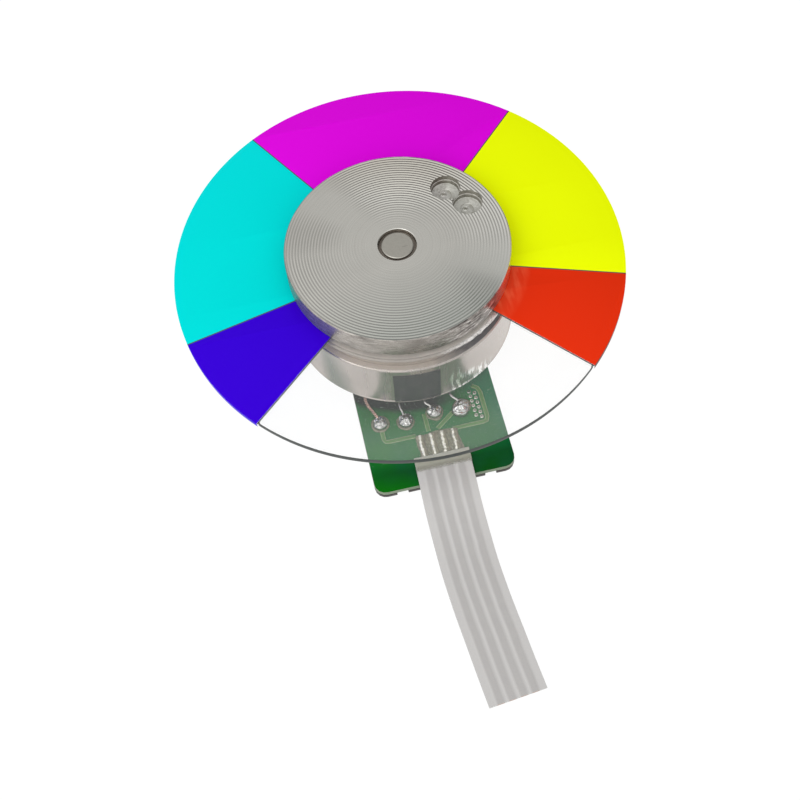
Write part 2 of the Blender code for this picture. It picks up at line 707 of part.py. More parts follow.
def circuit_board():
    """The board on the plate, with holes round the bearing holder's flange and over the fixing holes."""
    flange_hole = HOLDER_FLANGE_RADIUS + BOARD_HOLE_CLEARANCE
    holes = [circle(flange_hole, step=360.0 / SMALL_TURN_STEPS)]
    fixing_radius = (FIXING_HOLE + FIXING_CLEARANCE) / 2
    for angle in FIXING_ANGLES:
        holes.append(circle(fixing_radius, polar(FIXING_RING_DIAMETER / 2, angle), SMALL_ARC_STEP))
    outline = base_outline(False)
    settle(flat("circuit_board", [outline, *holes], BOARD_THICKNESS, LOOKS["board"], BASE, BOARD_BOTTOM))


def solder_joints():
    """A domed joint where each lead ends on the board."""
    radius = JOINT_DIAMETER / 2
    dome = [(radius * math.sin(t), JOINT_HEIGHT * math.cos(t)) for t in (0.0, 0.42, 0.84, 1.2)]
    profile = [*dome, (radius, JOINT_HEIGHT / 6), (radius, 0.0), (0.0, 0.0)]
    for i, (x, setback) in enumerate(zip(JOINT_PLACES_X, JOINT_SETBACKS)):
        joint = turned(
            f"solder_joint_{i + 1}", profile, LOOKS["solder"], BASE, BOARD_TOP + SEAT_GAP, BLOB_STEPS
        )
        joint.location.x = x
        joint.location.y = -CUP_RADIUS - setback
        settle(joint)


def lead_wires():
    """Each lead starts under a coil, dips below the cup's rim and ends beside its joint."""
    radius = LEAD_DIAMETER / 2
    start_level = COIL_BOTTOM - SEAT_GAP - radius
    dip_level = CUP_BOTTOM - LEAD_DIP - radius
    end_level = BOARD_TOP + JOINT_HEIGHT / 2
    leads = zip(JOINT_PLACES_X, JOINT_SETBACKS, LEAD_EXITS_X, LEAD_START_ANGLES)
    for i, (joint_x, setback, exit_x, start_angle) in enumerate(leads):
        start = polar((COIL_START + COIL_END) / 2, start_angle)
        rim = (exit_x, -math.sqrt(CUP_RADIUS**2 - exit_x**2) + CUP_WALL)
        joint = (joint_x, -CUP_RADIUS - setback)
        share = 1.0 - (JOINT_DIAMETER / 2 + LEAD_END_GAP) / math.dist(rim, joint)
        end = [a + (b - a) * share for a, b in zip(rim, joint)]
        points = [(*start, start_level), (*rim, dip_level), (*end, end_level)]
        wire = smooth_through(points, 2.5 * LEAD_DIAMETER)
        settle(tube(f"lead_wire_{i + 1}", wire, LEAD_DIAMETER, LOOKS["lead_copper"], BASE))


def rounded_bar(name, length, width, height, look):
    """A low bar along Y with its long edges rounded, its underside at its origin's level."""
    form = bmesh.new()
    bmesh.ops.create_cube(form, size=1.0)
    bmesh.ops.scale(form, verts=form.verts, vec=(width, length, height))
    mesh = bpy.data.meshes.new(name)
    form.to_mesh(mesh)
    form.free()
    bar = link(bpy.data.objects.new(name, mesh), look, BASE)
    bevel = bar.modifiers.new("Round", "BEVEL")
    bevel.width = height / 3
    bevel.segments = 2
    return bar


def cable_conductors():
    """The cable's bare conductors, soldered to the board and fanned out a little from the cable's pitch."""
    end_x, end_y, _ = CABLE_ROUTE[0]
    for i in range(CONDUCTOR_COUNT):
        place = i - (CONDUCTOR_COUNT - 1) / 2
        near = end_x + place * CONDUCTOR_PITCH
        far = place * CONDUCTOR_SPREAD
        bar = rounded_bar(
            f"cable_conductor_{i + 1}", CONDUCTOR_LENGTH, CONDUCTOR_WIDTH, CONDUCTOR_HEIGHT, LOOKS["solder"]
        )
        middle = end_y + 2 * SEAT_GAP + CONDUCTOR_LENGTH / 2
        bar.location = ((near + far) / 2, middle, BOARD_TOP + SEAT_GAP + CONDUCTOR_HEIGHT / 2)
        bar.rotation_euler.z = math.atan2(near - far, CONDUCTOR_LENGTH)
        settle(bar)


def cable_section():
    """The flat cable's cross-section, a rectangle with its corners taken off. It guides the cable's sweep."""
    x, y, r = CABLE_WIDTH / 2, CABLE_THICKNESS / 2, CABLE_EDGE_ROUNDING
    right_side = [(x - r, -y), (x, -y + r), (x, y - r), (x - r, y)]
    corners = right_side + [(-u, -v) for u, v in right_side]
    curve = bpy.data.curves.new("cable_section", "CURVE")
    curve.dimensions = "2D"
    spline = curve.splines.new("POLY")
    spline.points.add(len(corners) - 1)
    for point, (u, v) in zip(spline.points, corners):
        point.co = (u, v, 0.0, 1.0)
    spline.use_cyclic_u = True
    guide = bpy.data.objects.new("cable_section", curve)
    guide.hide_render = True
    guide.display_type = "WIRE"
    CUTTERS.objects.link(guide)
    return guide


def ribbon_cable():
    """The flat cable: over the board's front edge, down to the surface and along it to its cut end."""
    cable = tube("ribbon_cable", smooth_through(CABLE_ROUTE, CABLE_POINT_SPACING), 0.0, LOOKS["cable"], BASE)
    cable.data.bevel_mode = "OBJECT"
    cable.data.bevel_object = cable_section()
    cable.data.twist_mode = "Z_UP"
    settle(cable)


def cable_tape():
    """The pale tape across the cable's stripped end."""
    x, y, z = CABLE_ROUTE[0]
    tape = rounded_bar("cable_tape", TAPE_LENGTH, CABLE_WIDTH, TAPE_THICKNESS, LOOKS["tape"])
    level = z + CABLE_THICKNESS / 2 + SEAT_GAP + TAPE_THICKNESS / 2
    tape.location = (x, y - TAPE_LENGTH / 2, level)
    settle(tape)


empty_scene()
WHEEL = collection("colour_wheel")
CUTTERS = collection("cutters")
BASE = bpy.data.objects.new("base", None)
ROTOR = bpy.data.objects.new("rotor", None)
for body in (BASE, ROTOR):
    WHEEL.objects.link(body)

LOOKS = {
    "magenta_segment": material("magenta_glass", (0.67, 0.002, 0.67), 0.0, 0.05, 0.9),
    "cyan_segment": material("cyan_glass", (0.002, 0.74, 0.72), 0.0, 0.05, 0.9),
    "blue_segment": material("blue_glass", (0.04, 0.001, 0.66), 0.0, 0.05, 0.9),
    "clear_segment": material("clear_glass", (0.9, 0.92, 0.92), 0.0, 0.05, 0.2),
    "red_segment": material("red_glass", (0.73, 0.033, 0.006), 0.0, 0.05, 0.9),
    "yellow_segment": material("yellow_glass", (0.8, 0.94, 0.002), 0.0, 0.05, 0.9),
    "cap_aluminium": material("cap_aluminium", (0.62, 0.62, 0.6), 1.0, 0.35),
    "hub_aluminium": material("hub_aluminium", (0.6, 0.59, 0.57), 1.0, 0.3),
    "cup_steel": material("cup_steel", (0.66, 0.64, 0.62), 1.0, 0.12),
    "ground_steel": material("ground_steel", (0.6, 0.6, 0.6), 1.0, 0.2),
    "plate_steel": material("plate_steel", (0.5, 0.5, 0.5), 1.0, 0.4),
    "core_steel": material("core_steel", (0.3, 0.3, 0.32), 1.0, 0.5),
    "magnet": material("magnet", (0.05, 0.05, 0.055), 0.0, 0.6),
    "mark": material("mark", (0.12, 0.13, 0.125), 0.0, 0.25),
    "adhesive": material("adhesive", (0.75, 0.72, 0.62), 0.0, 0.3, 0.8),
    "retainer": material("retainer", (0.02, 0.02, 0.02), 0.0, 0.5),
    "brass": material("brass", (0.7, 0.5, 0.22), 1.0, 0.3),
    "bronze": material("bronze", (0.5, 0.33, 0.17), 1.0, 0.5),
    "insulator": material("insulator", (0.8, 0.78, 0.7), 0.0, 0.5),
    "copper": material("copper", (0.6, 0.2, 0.07), 0.6, 0.4),
    "lead_copper": material("lead_copper", (0.55, 0.3, 0.2), 0.8, 0.4),
    "board": material("board", (0.01, 0.09, 0.02), 0.0, 0.35),
    "solder": material("solder", (0.75, 0.75, 0.74), 1.0, 0.3),
    "cable": material("cable", (0.54, 0.53, 0.51), 0.0, 0.5),
    "tape": material("tape", (0.5, 0.48, 0.4), 0.0, 0.4, 0.6),
}

filter_ring()
balance_cap()
rotor_hub()
glass_adhesive()
rotor_cup()
rotor_magnet()
timing_mark()
shaft()
shaft_retainer()
bearing_holder()
sleeve_bearing()
thrust_parts()
stator_core()
coils()
base_plate()
circuit_board()
solder_joints()
lead_wires()
cable_conductors()
ribbon_cable()
cable_tape()
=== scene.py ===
"""Looks of the projector colour wheel: turned and polished metal, filter glass, board, solder and flat cable.

Metres, +Z up, the spin axis on Z. MM turns a size in millimetres into metres. Angles are in degrees,
counter-clockwise from +X, and the board's tongue points along -Y. Materials measure places in millimetres.
"""

import math

import bmesh
import bpy
from mathutils import Matrix, Vector, noise


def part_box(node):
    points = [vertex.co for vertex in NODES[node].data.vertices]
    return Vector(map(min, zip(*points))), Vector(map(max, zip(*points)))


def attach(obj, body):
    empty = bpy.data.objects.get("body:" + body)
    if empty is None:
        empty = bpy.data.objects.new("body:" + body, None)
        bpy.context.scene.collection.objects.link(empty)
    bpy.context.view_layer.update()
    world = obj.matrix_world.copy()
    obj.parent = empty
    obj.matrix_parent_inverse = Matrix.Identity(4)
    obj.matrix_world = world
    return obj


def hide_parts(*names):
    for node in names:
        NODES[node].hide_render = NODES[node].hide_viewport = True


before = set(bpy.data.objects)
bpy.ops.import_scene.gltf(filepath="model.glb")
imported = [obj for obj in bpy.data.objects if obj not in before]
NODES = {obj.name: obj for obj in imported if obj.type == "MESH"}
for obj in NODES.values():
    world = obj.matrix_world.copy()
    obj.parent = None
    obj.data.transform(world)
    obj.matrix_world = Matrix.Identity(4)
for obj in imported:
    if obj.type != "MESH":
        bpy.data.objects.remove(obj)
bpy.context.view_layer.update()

MM = 0.001

# Camera, fitted to the photograph
CAMERA_PLACE = (-9.255 * MM, -59.03 * MM, 92.13 * MM)
CAMERA_RIGHT = (0.97515, -0.21706, -0.0442)
CAMERA_UP = (0.21121, 0.85086, 0.4811)
CAMERA_LENS = 51.18
CAMERA_SENSOR = 36.0

# Floor, room and light
FLOOR_REACH = 3.0
FLOOR_LEVEL = -0.02 * MM
FLOOR_GLOW = 0.95
FLOOR_SHADE = 0.09
FLOOR_PLAIN = 0.8
SKY_LEVEL = 0.66
SKY_RISE = 0.75
SKY_SLOPE = 0.76
SKY_LEAST = 0.04
SKY_BRIGHT_ANGLE = 225.0
ROOM_WHITE = 0.8
KEY_PLACE = (-0.30, -0.22, 0.42)
KEY_SIZE = 0.25
KEY_POWER = 0.30

# Flat cable: the same route as the solid's, in millimetres
CABLE_ROUTE = (
    (0.07, -15.55, 1.21),
    (0.03, -17.00, 1.21),
    (-0.01, -18.30, 1.20),
    (-0.04, -19.60, 1.05),
    (-0.05, -20.90, 0.76),
    (-0.03, -22.40, 0.46),
    (0.00, -24.00, 0.26),
    (0.03, -25.50, 0.18),
    (0.09, -27.00, 0.17),
    (0.28, -29.70, 0.17),
    (0.54, -32.40, 0.17),
    (0.81, -35.20, 0.17),
    (1.08, -37.74, 0.17),
)
CABLE_WIDTH = 5.0 * MM
CABLE_THICKNESS = 0.30 * MM
CABLE_STEP = 0.25 * MM
CABLE_SAMPLES = 48
CABLE_EDGE = 0.006
CONDUCTOR_COUNT = 4
CONDUCTOR_PITCH = 1.0 * MM
CONDUCTOR_SPREAD = 1.04 * MM
CONDUCTOR_SHIFT = 0.16 * MM
CONDUCTOR_RELIEF = 0.025 * MM
CUT_END_SIZE = (0.62 * MM, 0.1 * MM, 0.09 * MM)

# Connections on the board, from the left to the right, in millimetres
JOINT_PLACES = ((-4.59, -11.29), (-2.30, -11.59), (0.42, -11.26), (3.03, -11.27))
JOINT_TAILS = ((0.0, 0.0), (0.05, 0.12), (0.10, 0.05), (-0.30, -0.40))
LEAD_EXITS_X = (-5.33, -2.46, -0.15, 2.15)
LEAD_START_ANGLES = (243.0, 254.0, 285.0, 296.0)
LEAD_START_RADIUS = 5.92 * MM
LEAD_DIAMETER = 0.25 * MM
LEAD_DIP = 0.40 * MM
LEAD_SINK = 0.55 * MM
STRAND_TURN = 0.8 * MM
CUP_RADIUS = 10.3 * MM
CUP_WALL = 0.50 * MM
CUP_CORNER = 0.20 * MM
CUP_HOLE_RADIUS = 2.53 * MM

# Printed tracks and plain vias, in millimetres
TRACKS = (
    ((-4.59, -11.6), (-4.59, -12.9), (-4.45, -13.15), (-4.1, -13.2), (-1.73, -13.2)),
    ((-0.5, -11.18), (-0.5, -13.0)),
    ((2.18, -11.55), (0.36, -12.91)),
    ((1.73, -13.25), (4.5, -13.23), (4.85, -13.15), (5.0, -12.8), (5.0, -10.2), (4.85, -9.7), (4.4, -9.35)),
)
VIA_START = (4.02, -9.9)
VIA_STEP = (0.46, 0.5)
VIA_SLANT = 0.01
VIA_ROWS = 6
VIA_COLUMNS = 2
VIA_PROFILE = ((0.055, 0.035), (0.15, 0.035), (0.18, 0.01), (0.18, -0.01), (0.055, -0.01))

# Filter ring
SEGMENTS = {
    "magenta": 45.6,
    "cyan": 121.6,
    "blue": 192.5,
    "clear": 221.9,
    "red": 312.5,
    "yellow": 341.2,
}
CLEAR_ENDS = {"clear": 0.0, "red": 312.5, "blue": 221.9}
GLASS_BORE = 14.0 * MM
SEGMENT_GAP = 0.1 * MM
JOINT_WIDTH = 0.096 * MM
CLEAR_SETBACK = 0.13 * MM
GLASS_EDGE_ROUNDING = 0.025 * MM
MARK_START = 254.1
MARK_SWEEP = 23.25

# Turned cap
CAP_RADIUS = -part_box("balance_cap")[0].x
CAP_CHAMFER = 0.12 * MM
CAP_RIM = CAP_RADIUS - CAP_CHAMFER
CAP_HOLE_RADIUS = 1.7 * MM
CAP_RECESS = 0.28 * MM
GROOVE_START = CAP_RIM - 0.03 * MM
GROOVE_PITCH = 0.262 * MM
GROOVE_DEPTH = 0.036 * MM
GROOVE_SAMPLES = 4
GROOVE_WEDGES = (
    (131.0, 7.0, 26.0, 0.10),
    (337.0, 4.0, 18.0, 0.5),
    (215.0, 8.0, 40.0, 0.72),
    (313.0, 3.0, 22.0, 2.3),
)
# Direction of the cap's sector whose grooves have painted light and shade
PAINTED_GROOVE_TOWARD = (-0.921, 0.391)
POCKET_RADIUS = 1.35 * MM
POCKET_DEPTH = 0.86 * MM
POCKETS = ((7.49 * MM, 42.4), (7.67 * MM, 23.0))
POCKET_MARK = Vector((-0.18 * MM, 0.02 * MM))

# Profiles as steps across and up, in millimetres: the drill's from its rim and from its floor's centre, the
# hub's from its top's centre and from its lip's upper edge, and the drum's from its lower edge
DRILL_WALL = ((0.0, 1.0), (0.0, 0.0), (-0.01, -0.46), (-0.09, -0.49), (-0.11, -0.52))
DRILL_FLOOR = (
    *((1.24, -0.02), (1.14, -0.06), (0.62, -0.09), (0.58, -0.12), (0.54, -0.09)),
    *((0.27, -0.10), (0.23, -0.14), (0.13, -0.11), (0.07, -0.24), (0.0, -0.26)),
)
HUB_SPIGOT = ((0.0, 0.0), (0.5, 0.0), (1.33, 0.0), (1.4, -0.05), (1.4, -0.24), (1.68, -0.28))
HUB_LIP = ((-0.08, 0.0), (-0.02, -0.02), (0.0, -0.08), (0.0, -0.32), (-0.04, -0.40), (-0.30, -0.50))
CUP_LIP = ((0.0, 0.20), (0.027, 0.15), (0.09, 0.09), (0.09, 0.04), (0.0, 0.0), (-0.50, 0.0))

# Adhesive bead
BEAD_STEPS = 900
BEAD_ACROSS = 10
BEAD_WIDTH = 0.30 * MM
BEAD_DROP = 0.40 * MM

# Facets
FINE_TURN = 288
DRILL_TURN = 72
SHARP_ANGLE = 30.0
MERGE_DISTANCE = 1e-7


def srgb(red, green, blue):
    """A linear colour from values of 0 to 255 on the screen."""
    parts = (red / 255, green / 255, blue / 255)
    return tuple(part / 12.92 if part <= 0.04045 else ((part + 0.055) / 1.055) ** 2.4 for part in parts)


def darker(colour, share):
    return tuple(part * share for part in colour)


class Signal:
    """A node's output, from which sums, products and ranges are made."""

    def __init__(self, look, socket):
        self.look = look
        self.socket = socket

    def math(self, operation, other=0.0):
        return self.look.node("Math", {0: self, 1: other}, operation=operation)

    def __add__(self, other):
        return self.math("ADD", other)

    def __sub__(self, other):
        return self.math("SUBTRACT", other)

    def __mul__(self, other):
        return self.math("MULTIPLY", other)

    def __truediv__(self, other):
        return self.math("DIVIDE", other)

    def __abs__(self):
        return self.math("ABSOLUTE")

    def ranged(self, low, high, to_low=0.0, to_high=1.0):
        spans = {"Value": self, "From Min": low, "From Max": high, "To Min": to_low, "To Max": to_high}
        return self.look.node("MapRange", spans)


class Tree:
    """The node tree of a material or world, cleared unless its first nodes are kept."""

    def __init__(self, holder, keep=False):
        holder.use_nodes = True
        self.tree = holder.node_tree
        if not keep:
            self.tree.nodes.clear()

    def feed(self, socket, value):
        """Links a socket to a signal, or sets it. A colour gets its alpha."""
        if isinstance(value, Signal):
            self.tree.links.new(value.socket, socket)
        else:
            socket.default_value = (*value, 1.0) if socket.type == "RGBA" else value

    def node(self, kind, inputs=None, output=0, **settings):
        """Makes a node, feeds its inputs and gives one of its outputs."""
        made = self.tree.nodes.new("ShaderNode" + kind)
        for name, value in settings.items():
            setattr(made, name, value)
        for socket, value in (inputs or {}).items():
            self.feed(made.inputs[socket], value)
        return Signal(self, made.outputs[output]) if made.outputs else None

    def split(self, vector):
        """The x, y and z of a vector."""
        made = self.node("SeparateXYZ", {0: vector})
        return [Signal(self, socket) for socket in made.socket.node.outputs]


class Look(Tree):
    """A Principled material. Its base colour is built up in tints."""

    def __init__(self, name, colour, metallic=0.0, roughness=0.5, **sockets):
        self.material = bpy.data.materials.new(name)
        super().__init__(self.material, keep=True)
        self.shader = self.tree.nodes["Principled BSDF"]
        self.colour = colour
        self.wire("Base Color", colour)
        self.wire("Metallic", metallic)
        self.wire("Roughness", roughness)
        for socket, value in sockets.items():
            self.wire(socket.replace("_", " "), value)

    def wire(self, socket, value):
        self.feed(self.shader.inputs[socket], value)
        return self

    def place(self):
        """The point's place in the object, in millimetres."""
        spot = self.node("TexCoord", output="Object")
        return self.node("VectorMath", {0: spot, "Scale": 1 / MM}, operation="SCALE")

    def axes(self):
        return self.split(self.place())

    def radius(self):
        """The point's distance from the spin axis, in millimetres."""
        x, y, _ = self.axes()
        return (x.math("POWER", 2.0) + y.math("POWER", 2.0)).math("SQRT")

    def noise(self, scale, detail=2.0, stretch=None, roughness=0.5, at=None):
        vector = at or self.place()
        if stretch:
            vector = self.node("VectorMath", {0: vector, 1: stretch}, operation="MULTIPLY")
        grain = {"Vector": vector, "Scale": scale, "Detail": detail, "Roughness": roughness}
        return self.node("TexNoise", grain)

    def rings(self, scale):
        """Fine lines round the spin axis."""
        return self.noise(scale, 3.0, roughness=0.7, at=self.node("CombineXYZ", {0: self.radius()}))

    def blended(self, factor, first, second):
        """A colour between two, at a factor of 0 to 1."""
        made = self.tree.nodes.new("ShaderNodeMix")
        made.data_type = "RGBA"
        sockets = {socket.identifier: socket for socket in made.inputs}
        for name, value in (("Factor_Float", factor), ("A_Color", first), ("B_Color", second)):
            self.feed(sockets[name], value)
        return Signal(self, next(s for s in made.outputs if s.identifier == "Result_Color"))

    def tint(self, factor, *colour):
        """Lays a colour over the base colour: three screen values, or else a linear colour or a signal."""
        colour = srgb(*colour) if len(colour) == 3 else colour[0]
        self.colour = self.blended(factor, self.colour, colour)
        return self.wire("Base Color", self.colour)

    def bump(self, height, distance):
        relief = {"Height": height, "Distance": distance, "Strength": 1.0}
        return self.wire("Normal", self.node("Bump", relief))


def mottled(name, colour, second, scale, span=(0.35, 0.7), most=1.0, gloss=None, depth=0.0, **settings):
    """A surface with one pattern in its colour and, where asked, in its gloss and relief.

    The second colour takes over within the pattern's span. The settings are sockets, apart from the pattern's
    own detail and grit.
    """
    detail, grit = settings.pop("detail", 4.0), settings.pop("grit", 0.5)
    look = Look(name, colour, **settings)
    pattern = look.noise(scale, detail, roughness=grit)
    look.tint(pattern.ranged(*span, 0.0, most), second)
    if gloss:
        look.wire("Roughness", pattern.ranged(*gloss))
    if depth:
        look.bump(pattern, depth)
    return look


def plain_metal(name, colour, roughness):
    gloss = (0.3, 0.7, roughness * 0.8, roughness * 1.3)
    settings = {"metallic": 1.0, "roughness": roughness}
    return mottled(name, colour, darker(colour, 0.8), 6.0, gloss=gloss, depth=0.002 * MM, **settings)


def plain_surface(name, colour, roughness, scale=8.0, share=0.88, **sockets):
    sockets |= {"roughness": roughness, "depth": 0.002 * MM}
    return mottled(name, colour, darker(colour, share), scale, **sockets)


def coloured_glass(name, colour, streak=None):
    """A dichroic filter: a saturated, even colour with a faint gloss, and, where asked, a painted reflection
    and painted light in streaks beside the cap.
    """
    look = Look(name, colour, roughness=0.04, Specular_IOR_Level=0.03)
    if not streak:
        return look.tint(look.noise(0.35, 1.0).ranged(0.35, 0.75, 0.0, 0.15), darker(colour, 0.97))
    # Painted reflection and painted light: a paler, streaked tint beside the cap, for the cap's reflection
    # and to lift the shade there.
    beside = look.radius().ranged(11.8, 10.5)
    lines = look.noise(1.0, stretch=(1.6, 0.35, 1.0))
    return look.tint(beside * lines.ranged(0.42, 0.6, 0.25, 1.0), streak)


def bare_glass(name, veil, **sockets):
    """Clear glass with a faint veil, for the clear segment and behind the filters' uncoated faces."""
    look = Look(name, (0.94, 0.96, 0.95), Specular_IOR_Level=0.25, **sockets)
    return look.wire("Roughness", look.noise(0.6, 3.0).ranged(0.4, 0.8, *veil))


def clear_glass():
    look = bare_glass("clear_glass", (0.02, 0.10))
    # Painted shade: the veil is thinner inside 15.5 mm, so the shade under the drum reads darker through it.
    return look.wire("Alpha", look.radius().ranged(15.5, 18.0, 0.045, 0.07))


def glass_edge(name, colour):
    settings = {"detail": 2.0, "roughness": 0.45, "Specular_IOR_Level": 0.2}
    return mottled(name, colour, darker(colour, 0.75), 14.0, most=0.8, **settings)


def turned_aluminium(name, colour, roughness, line_scale):
    """Metal with fine rings left by the tool and a little uneven grey."""
    look = Look(name, colour, metallic=1.0, roughness=roughness)
    lines = look.rings(line_scale)
    clouds = look.noise(0.45, 3.0)
    look.tint(lines.ranged(0.3, 0.7, 0.4, 1.0) * clouds.ranged(0.3, 0.7, 0.3, 1.0), darker(colour, 0.90))
    look.wire("Roughness", lines.ranged(0.3, 0.7, roughness * 0.8, roughness * 1.25))
    return look.bump(lines, 0.0012 * MM)


def cap_face():
    """The cap's turned face, with painted reflection, light and shade: warmer and darker at the back, greener
    in front, darker at the left and lighter at the right, and painted light and shade in the grooves of one
    sector.
    """
    look = Look("cap_face", srgb(212, 210, 203), metallic=1.0, roughness=0.22)
    x, y, _ = look.axes()
    radius = look.radius()
    lines = look.rings(6.0)
    toward = (x * PAINTED_GROOVE_TOWARD[0] + y * PAINTED_GROOVE_TOWARD[1]) / radius
    painted_groove_shading = toward.ranged(0.955, 0.99) * radius.ranged(4.4, 6.4, 0.0, 0.42)
    turn = (radius - GROOVE_START / MM) / (GROOVE_PITCH / MM)
    bottoms = turn.math("PINGPONG", 0.5).ranged(0.1, 0.4)
    # Painted reflection and shade: greener in front, warmer and darker at the back.
    look.tint((y - x * 0.2).ranged(-2.0, -9.0), 172, 176, 170)
    look.tint((y + x * 0.35).ranged(5.0, 10.0), 190, 184, 174)
    look.tint(lines.ranged(0.35, 0.65, 0.0, 0.4), 188, 186, 179)
    look.tint(look.noise(0.25).ranged(0.35, 0.7, 0.0, 0.25), 190, 189, 182)
    # Painted light and shade in the grooves of one sector: a lighter sector with darker groove bottoms.
    look.tint(painted_groove_shading * 0.55, 228, 225, 218)
    look.tint(painted_groove_shading * bottoms, 128, 126, 120)
    # Painted shade towards the left, painted light towards the right.
    look.tint((x + y * 0.6).ranged(-9.0, 0.0, 0.18, 0.0), 160, 159, 153)
    look.tint(x.ranged(5.0, 9.5, 0.0, 0.4), 236, 235, 228)
    return look.wire("Roughness", lines.ranged(0.3, 0.7, 0.18, 0.27))


def cap_side():
    """The cap's wall: duller, scratched and gouged round, and mirror-like beside the red glass."""
    look = Look("cap_side", srgb(172, 166, 159), metallic=0.72, roughness=0.26, Specular_IOR_Level=0.3)
    x, _, _ = look.axes()
    scratches = look.noise(6.0, 4.0, (0.12, 0.12, 1.6), 0.7)
    gouges = look.noise(5.0, 3.0, (0.22, 0.22, 0.85), 0.6)
    mirror = x.ranged(6.8, 8.2)
    worn = x.ranged(-1.0, 4.0, 0.0, 0.75) + look.noise(0.22).ranged(0.45, 0.6, 0.0, 0.25)
    worn = worn * mirror.ranged(0.0, 1.0, 1.0, 0.25)
    look.tint(look.noise(0.6, 3.0).ranged(0.35, 0.7), 148, 143, 137)
    look.tint(scratches.ranged(0.52, 0.72), 104, 99, 95)
    look.tint(x.ranged(-2.0, 4.0, 0.0, 0.55), 128, 122, 117)
    look.tint(gouges.ranged(0.54, 0.62) * worn, 58, 52, 52)
    look.tint(gouges.ranged(0.44, 0.37) * worn, 222, 218, 213)
    look.tint(mirror, 236, 226, 220)
    look.wire("Metallic", mirror.ranged(0.0, 1.0, 0.72, 1.0))
    look.wire("Roughness", scratches.ranged(0.3, 0.7, 0.2, 0.4))
    return look.bump(scratches + gouges * 1.5, 0.012 * MM)


def shaded_neck_metal(name, colour):
    """The metal below the lip: brown-grey, with painted shade darkening one side."""
    look = Look(name, colour, metallic=0.5, roughness=0.4)
    x, _, _ = look.axes()
    clouds = look.noise(0.8, 3.0)
    # Painted shade: darker towards +x, where the neck lies in shadow.
    look.tint((x + clouds.ranged(0.3, 0.7, -0.5, 0.5)).ranged(0.5, 4.5), 102, 97, 100)
    return look.bump(clouds, 0.004 * MM)


def spigot_face():
    """The spigot's end: faced flat, with one faint scratch."""
    look = Look("spigot_face", srgb(176, 173, 164), metallic=0.85, roughness=0.38)
    x, y, _ = look.axes()
    grain = look.noise(7.0, 3.0)
    scratch = abs(y + 0.28).ranged(0.04, 0.015) * abs(x - 0.62).ranged(0.28, 0.2)
    look.tint(grain.ranged(0.35, 0.7, 0.0, 0.6), 164, 161, 152)
    look.tint(scratch * 0.5, 110, 106, 100)
    return look.bump(grain, 0.003 * MM)


def drilled_aluminium(name, colour, dull):
    """The pockets' walls and floors, as the drill left them, with painted light towards +x."""
    look = Look(name, colour, metallic=1.0, roughness=0.40)
    x, _, _ = look.axes()
    grain = look.noise(5.0, 4.0)
    look.tint(grain.ranged(0.35, 0.7), dull)
    # Painted light: lighter towards +x.
    look.tint(x.ranged(5.4, 6.0, 0.0, 0.35), 196, 198, 188)
    look.wire("Roughness", grain.ranged(0.3, 0.7, 0.34, 0.5))
    return look.bump(grain, 0.006 * MM)


def polished_steel():
    """Deep-drawn metal: draw marks, cloudy wear, a painted greenish reflection at the left, painted light
    towards the right and, low at the front right, a painted reflection of the board with painted glints over
    its dents.
    """
    look = Look("cup_steel", srgb(186, 178, 171), metallic=0.76, roughness=0.25, Specular_IOR_Level=0.3)
    x, y, z = look.axes()
    marks = look.noise(2.4, 4.0, (1.0, 1.0, 0.06))
    turns = look.noise(9.0, 2.0, (0.04, 0.04, 1.0))
    dents_and_glints = look.noise(3.0, 3.0, (1.0, 1.0, 0.2), 0.65)
    worn = look.noise(0.16).ranged(0.40, 0.60) * marks.ranged(0.35, 0.7, 0.7, 1.0)
    painted_left_shade = (x + z * 0.22).ranged(-5.2, -6.6) * y.ranged(-5.5, -6.5)
    front = x.ranged(1.8, 2.6) * x.ranged(7.2, 6.0) * y.ranged(-7.0, -8.5)
    rise = z + x.ranged(2.0, 7.0, -1.2, 1.8) + dents_and_glints.ranged(0.3, 0.7, 1.2, -1.2)
    low = front * rise.ranged(4.4, 3.0)
    look.tint(worn, 170, 163, 156)
    # Painted reflection: a darker, greenish shade on the wall at the left.
    look.tint(painted_left_shade * 0.8, 118, 126, 116)
    # Painted light towards the right.
    look.tint(x.ranged(3.0, 8.0), 206, 199, 193)
    # Painted reflection of the green board low at the front right, with painted glints over the dents there.
    look.tint(low * 0.75, 134, 150, 136)
    look.tint(dents_and_glints.ranged(0.50, 0.56) * low, 255, 253, 250)
    dull = z.ranged(7.25, 7.32, 0.0, 0.25) * x.ranged(3.0, 6.0)
    look.wire("Roughness", dull + marks.ranged(0.35, 0.75, 0.20, 0.30))
    return look.bump(turns + dents_and_glints * low * 9.0, 0.0016 * MM)


def adhesive_look():
    """Cured, crazed adhesive, with painted glitter at the right: bright and dark flakes painted into its
    colour there.
    """
    look = Look("adhesive", srgb(158, 150, 142), metallic=0.15, roughness=0.22)
    x, _, _ = look.axes()
    side = x.ranged(1.0, 4.2)
    flakes = look.noise(6.0, 5.0, roughness=0.75)
    # Painted highlights: bright and dark flakes in the colour, at the right only.
    look.tint(side, look.blended(flakes.ranged(0.50, 0.62), srgb(250, 247, 243), srgb(142, 134, 130)))
    look.wire("Metallic", side.ranged(0.0, 1.0, 0.15, 0.5))
    return look.bump(flakes * side.ranged(0.0, 1.0, 0.2, 1.0), 0.08 * MM)


